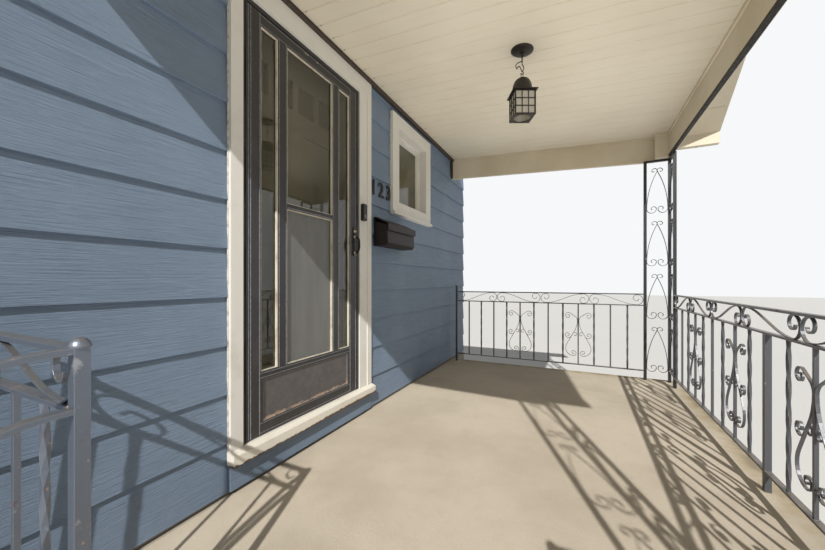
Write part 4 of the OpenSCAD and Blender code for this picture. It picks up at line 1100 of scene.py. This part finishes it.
def railing_welds():
    """Lumps of weld, chipped to rust, where the near railing's rails meet its posts and bars."""
    shape = Shape("railing_welds", "root", "iron", "weld")
    low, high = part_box("near_railing")
    x = (low.x + high.x) / 2
    lower_rails = (RAIL_TOP - SECOND_RAIL_DROP, FLOOR_Z + LOW_RAIL_RISE)

    def lump(at, sizes):
        place = Matrix.Translation(at) @ Matrix.Diagonal((*sizes, 1))
        return bmesh.ops.create_icosphere(shape.mesh, subdivisions=2, radius=1, matrix=place)["verts"]

    for y in (GATE_NEAR_Y + GATE_POST_HALF, GATE_FAR_Y - GATE_POST_HALF):
        for z in (RAIL_TOP - 0.006, *lower_rails):
            for side in (-1, 1):
                for vert in lump((x + side * 0.009, y, z - 0.004 * side), (0.0038, 0.0028, 0.0048)):
                    vert.co += vert.normal * random.uniform(-0.0004, 0.0004)
    for k in (1, 2, 3):
        for z in lower_rails:
            lump((x - 0.006, GATE_NEAR_Y + k * GATE_BAR_PITCH, z - 0.0045), (0.0035, 0.006, 0.003))
    for face in shape.mesh.faces:
        face.smooth = True
    shape.done()


# Camera, light and floor

def make_camera():
    data = bpy.data.cameras.new("camera")
    data.lens = CAMERA_LENS
    data.sensor_width = CAMERA_SENSOR
    data.shift_y = CAMERA_SHIFT_Y
    data.clip_start, data.clip_end = CAMERA_CLIP
    camera = placed("camera", data)
    camera.location = CAMERA_AT
    camera.rotation_euler = (math.radians(90), 0, -math.radians(CAMERA_HEADING))
    bpy.context.scene.camera = camera


def seen_directly(tree):
    """1 for a ray that shows the surroundings: from the camera, in a reflection or through glass."""
    path = tree.nodes.new("ShaderNodeLightPath")
    seen = path.outputs["Is Camera Ray"]
    for name in ("Is Glossy Ray", "Is Transmission Ray"):
        either = tree.nodes.new("ShaderNodeMath")
        either.operation = "MAXIMUM"
        tree.links.new(seen, either.inputs[0])
        tree.links.new(path.outputs[name], either.inputs[1])
        seen = either.outputs[0]
    return seen


def make_sky():
    """A plain soft sky, which is seen as a pale backdrop."""
    world = bpy.data.worlds.new("sky")
    world.use_nodes = True
    tree = world.node_tree
    tree.nodes.clear()
    both = tree.nodes.new("ShaderNodeMixShader")
    tree.links.new(seen_directly(tree), both.inputs[0])
    for i, (colour, strength) in enumerate((((1, 1, 1, 1), SKY_STRENGTH), (BACKDROP_SHADE, 1.0))):
        shown = tree.nodes.new("ShaderNodeBackground")
        shown.inputs["Color"].default_value = colour
        shown.inputs["Strength"].default_value = strength
        tree.links.new(shown.outputs[0], both.inputs[1 + i])
    out = tree.nodes.new("ShaderNodeOutputWorld")
    tree.links.new(both.outputs[0], out.inputs["Surface"])
    bpy.context.scene.world = world


def make_sun():
    data = bpy.data.lights.new("sun", "SUN")
    data.energy = SUN_STRENGTH
    data.angle = math.radians(SUN_SOFTNESS)
    data.color = SUN_COLOUR
    placed("sun", data).rotation_euler = Vector(SUN_WAY).to_track_quat("-Z", "Y").to_euler()


def make_bounce():
    """Soft light that rises from the porch floor to the ceiling and the beams."""
    data = bpy.data.lights.new("bounce", "AREA")
    data.shape = "RECTANGLE"
    data.size, data.size_y = BOUNCE_SIZE
    data.energy = BOUNCE_POWER
    data.spread = math.radians(BOUNCE_SPREAD)
    data.color = BOUNCE_COLOUR
    bounce = placed("bounce", data)
    bounce.location = BOUNCE_AT
    bounce.rotation_euler = (math.radians(180), 0, 0)
    bounce.visible_camera = False
    bounce.visible_glossy = False
    bounce.visible_transmission = False


def make_floor():
    mesh = bpy.data.meshes.new("floor")
    h = FLOOR_HALF
    mesh.from_pydata([(-h, -h, 0), (h, -h, 0), (h, h, 0), (-h, h, 0)], [], [(0, 1, 2, 3)])
    look = Look("floor_paper", Roughness=0.9)
    look.set(Base_Color=look.mix(look.noise(0.4, 2), tone(226, 226, 224), tone(222, 222, 220)))
    mesh.materials.append(look.material)
    placed("floor", mesh)


make_camera()
make_sky()
make_sun()
make_bounce()
make_floor()
dress_nodes()

house_number()
caulk_lines()
window_stops()
doorbell()
mailbox_details()
glazing_beads()
storm_ridges()
kick_moulding()
storm_handle()
storm_screws()
dark_trim()
ceiling_trims()
soffit_seams()
shingled_slope(1, "shingles_far", "roof_far")
shingled_slope(-1, "shingles_near", "roof_near")
ridge_cap()
foundation_blocks()
lantern_details()
lantern_hook()
railing_welds()

bpy.context.scene.view_settings.view_transform = "Standard"
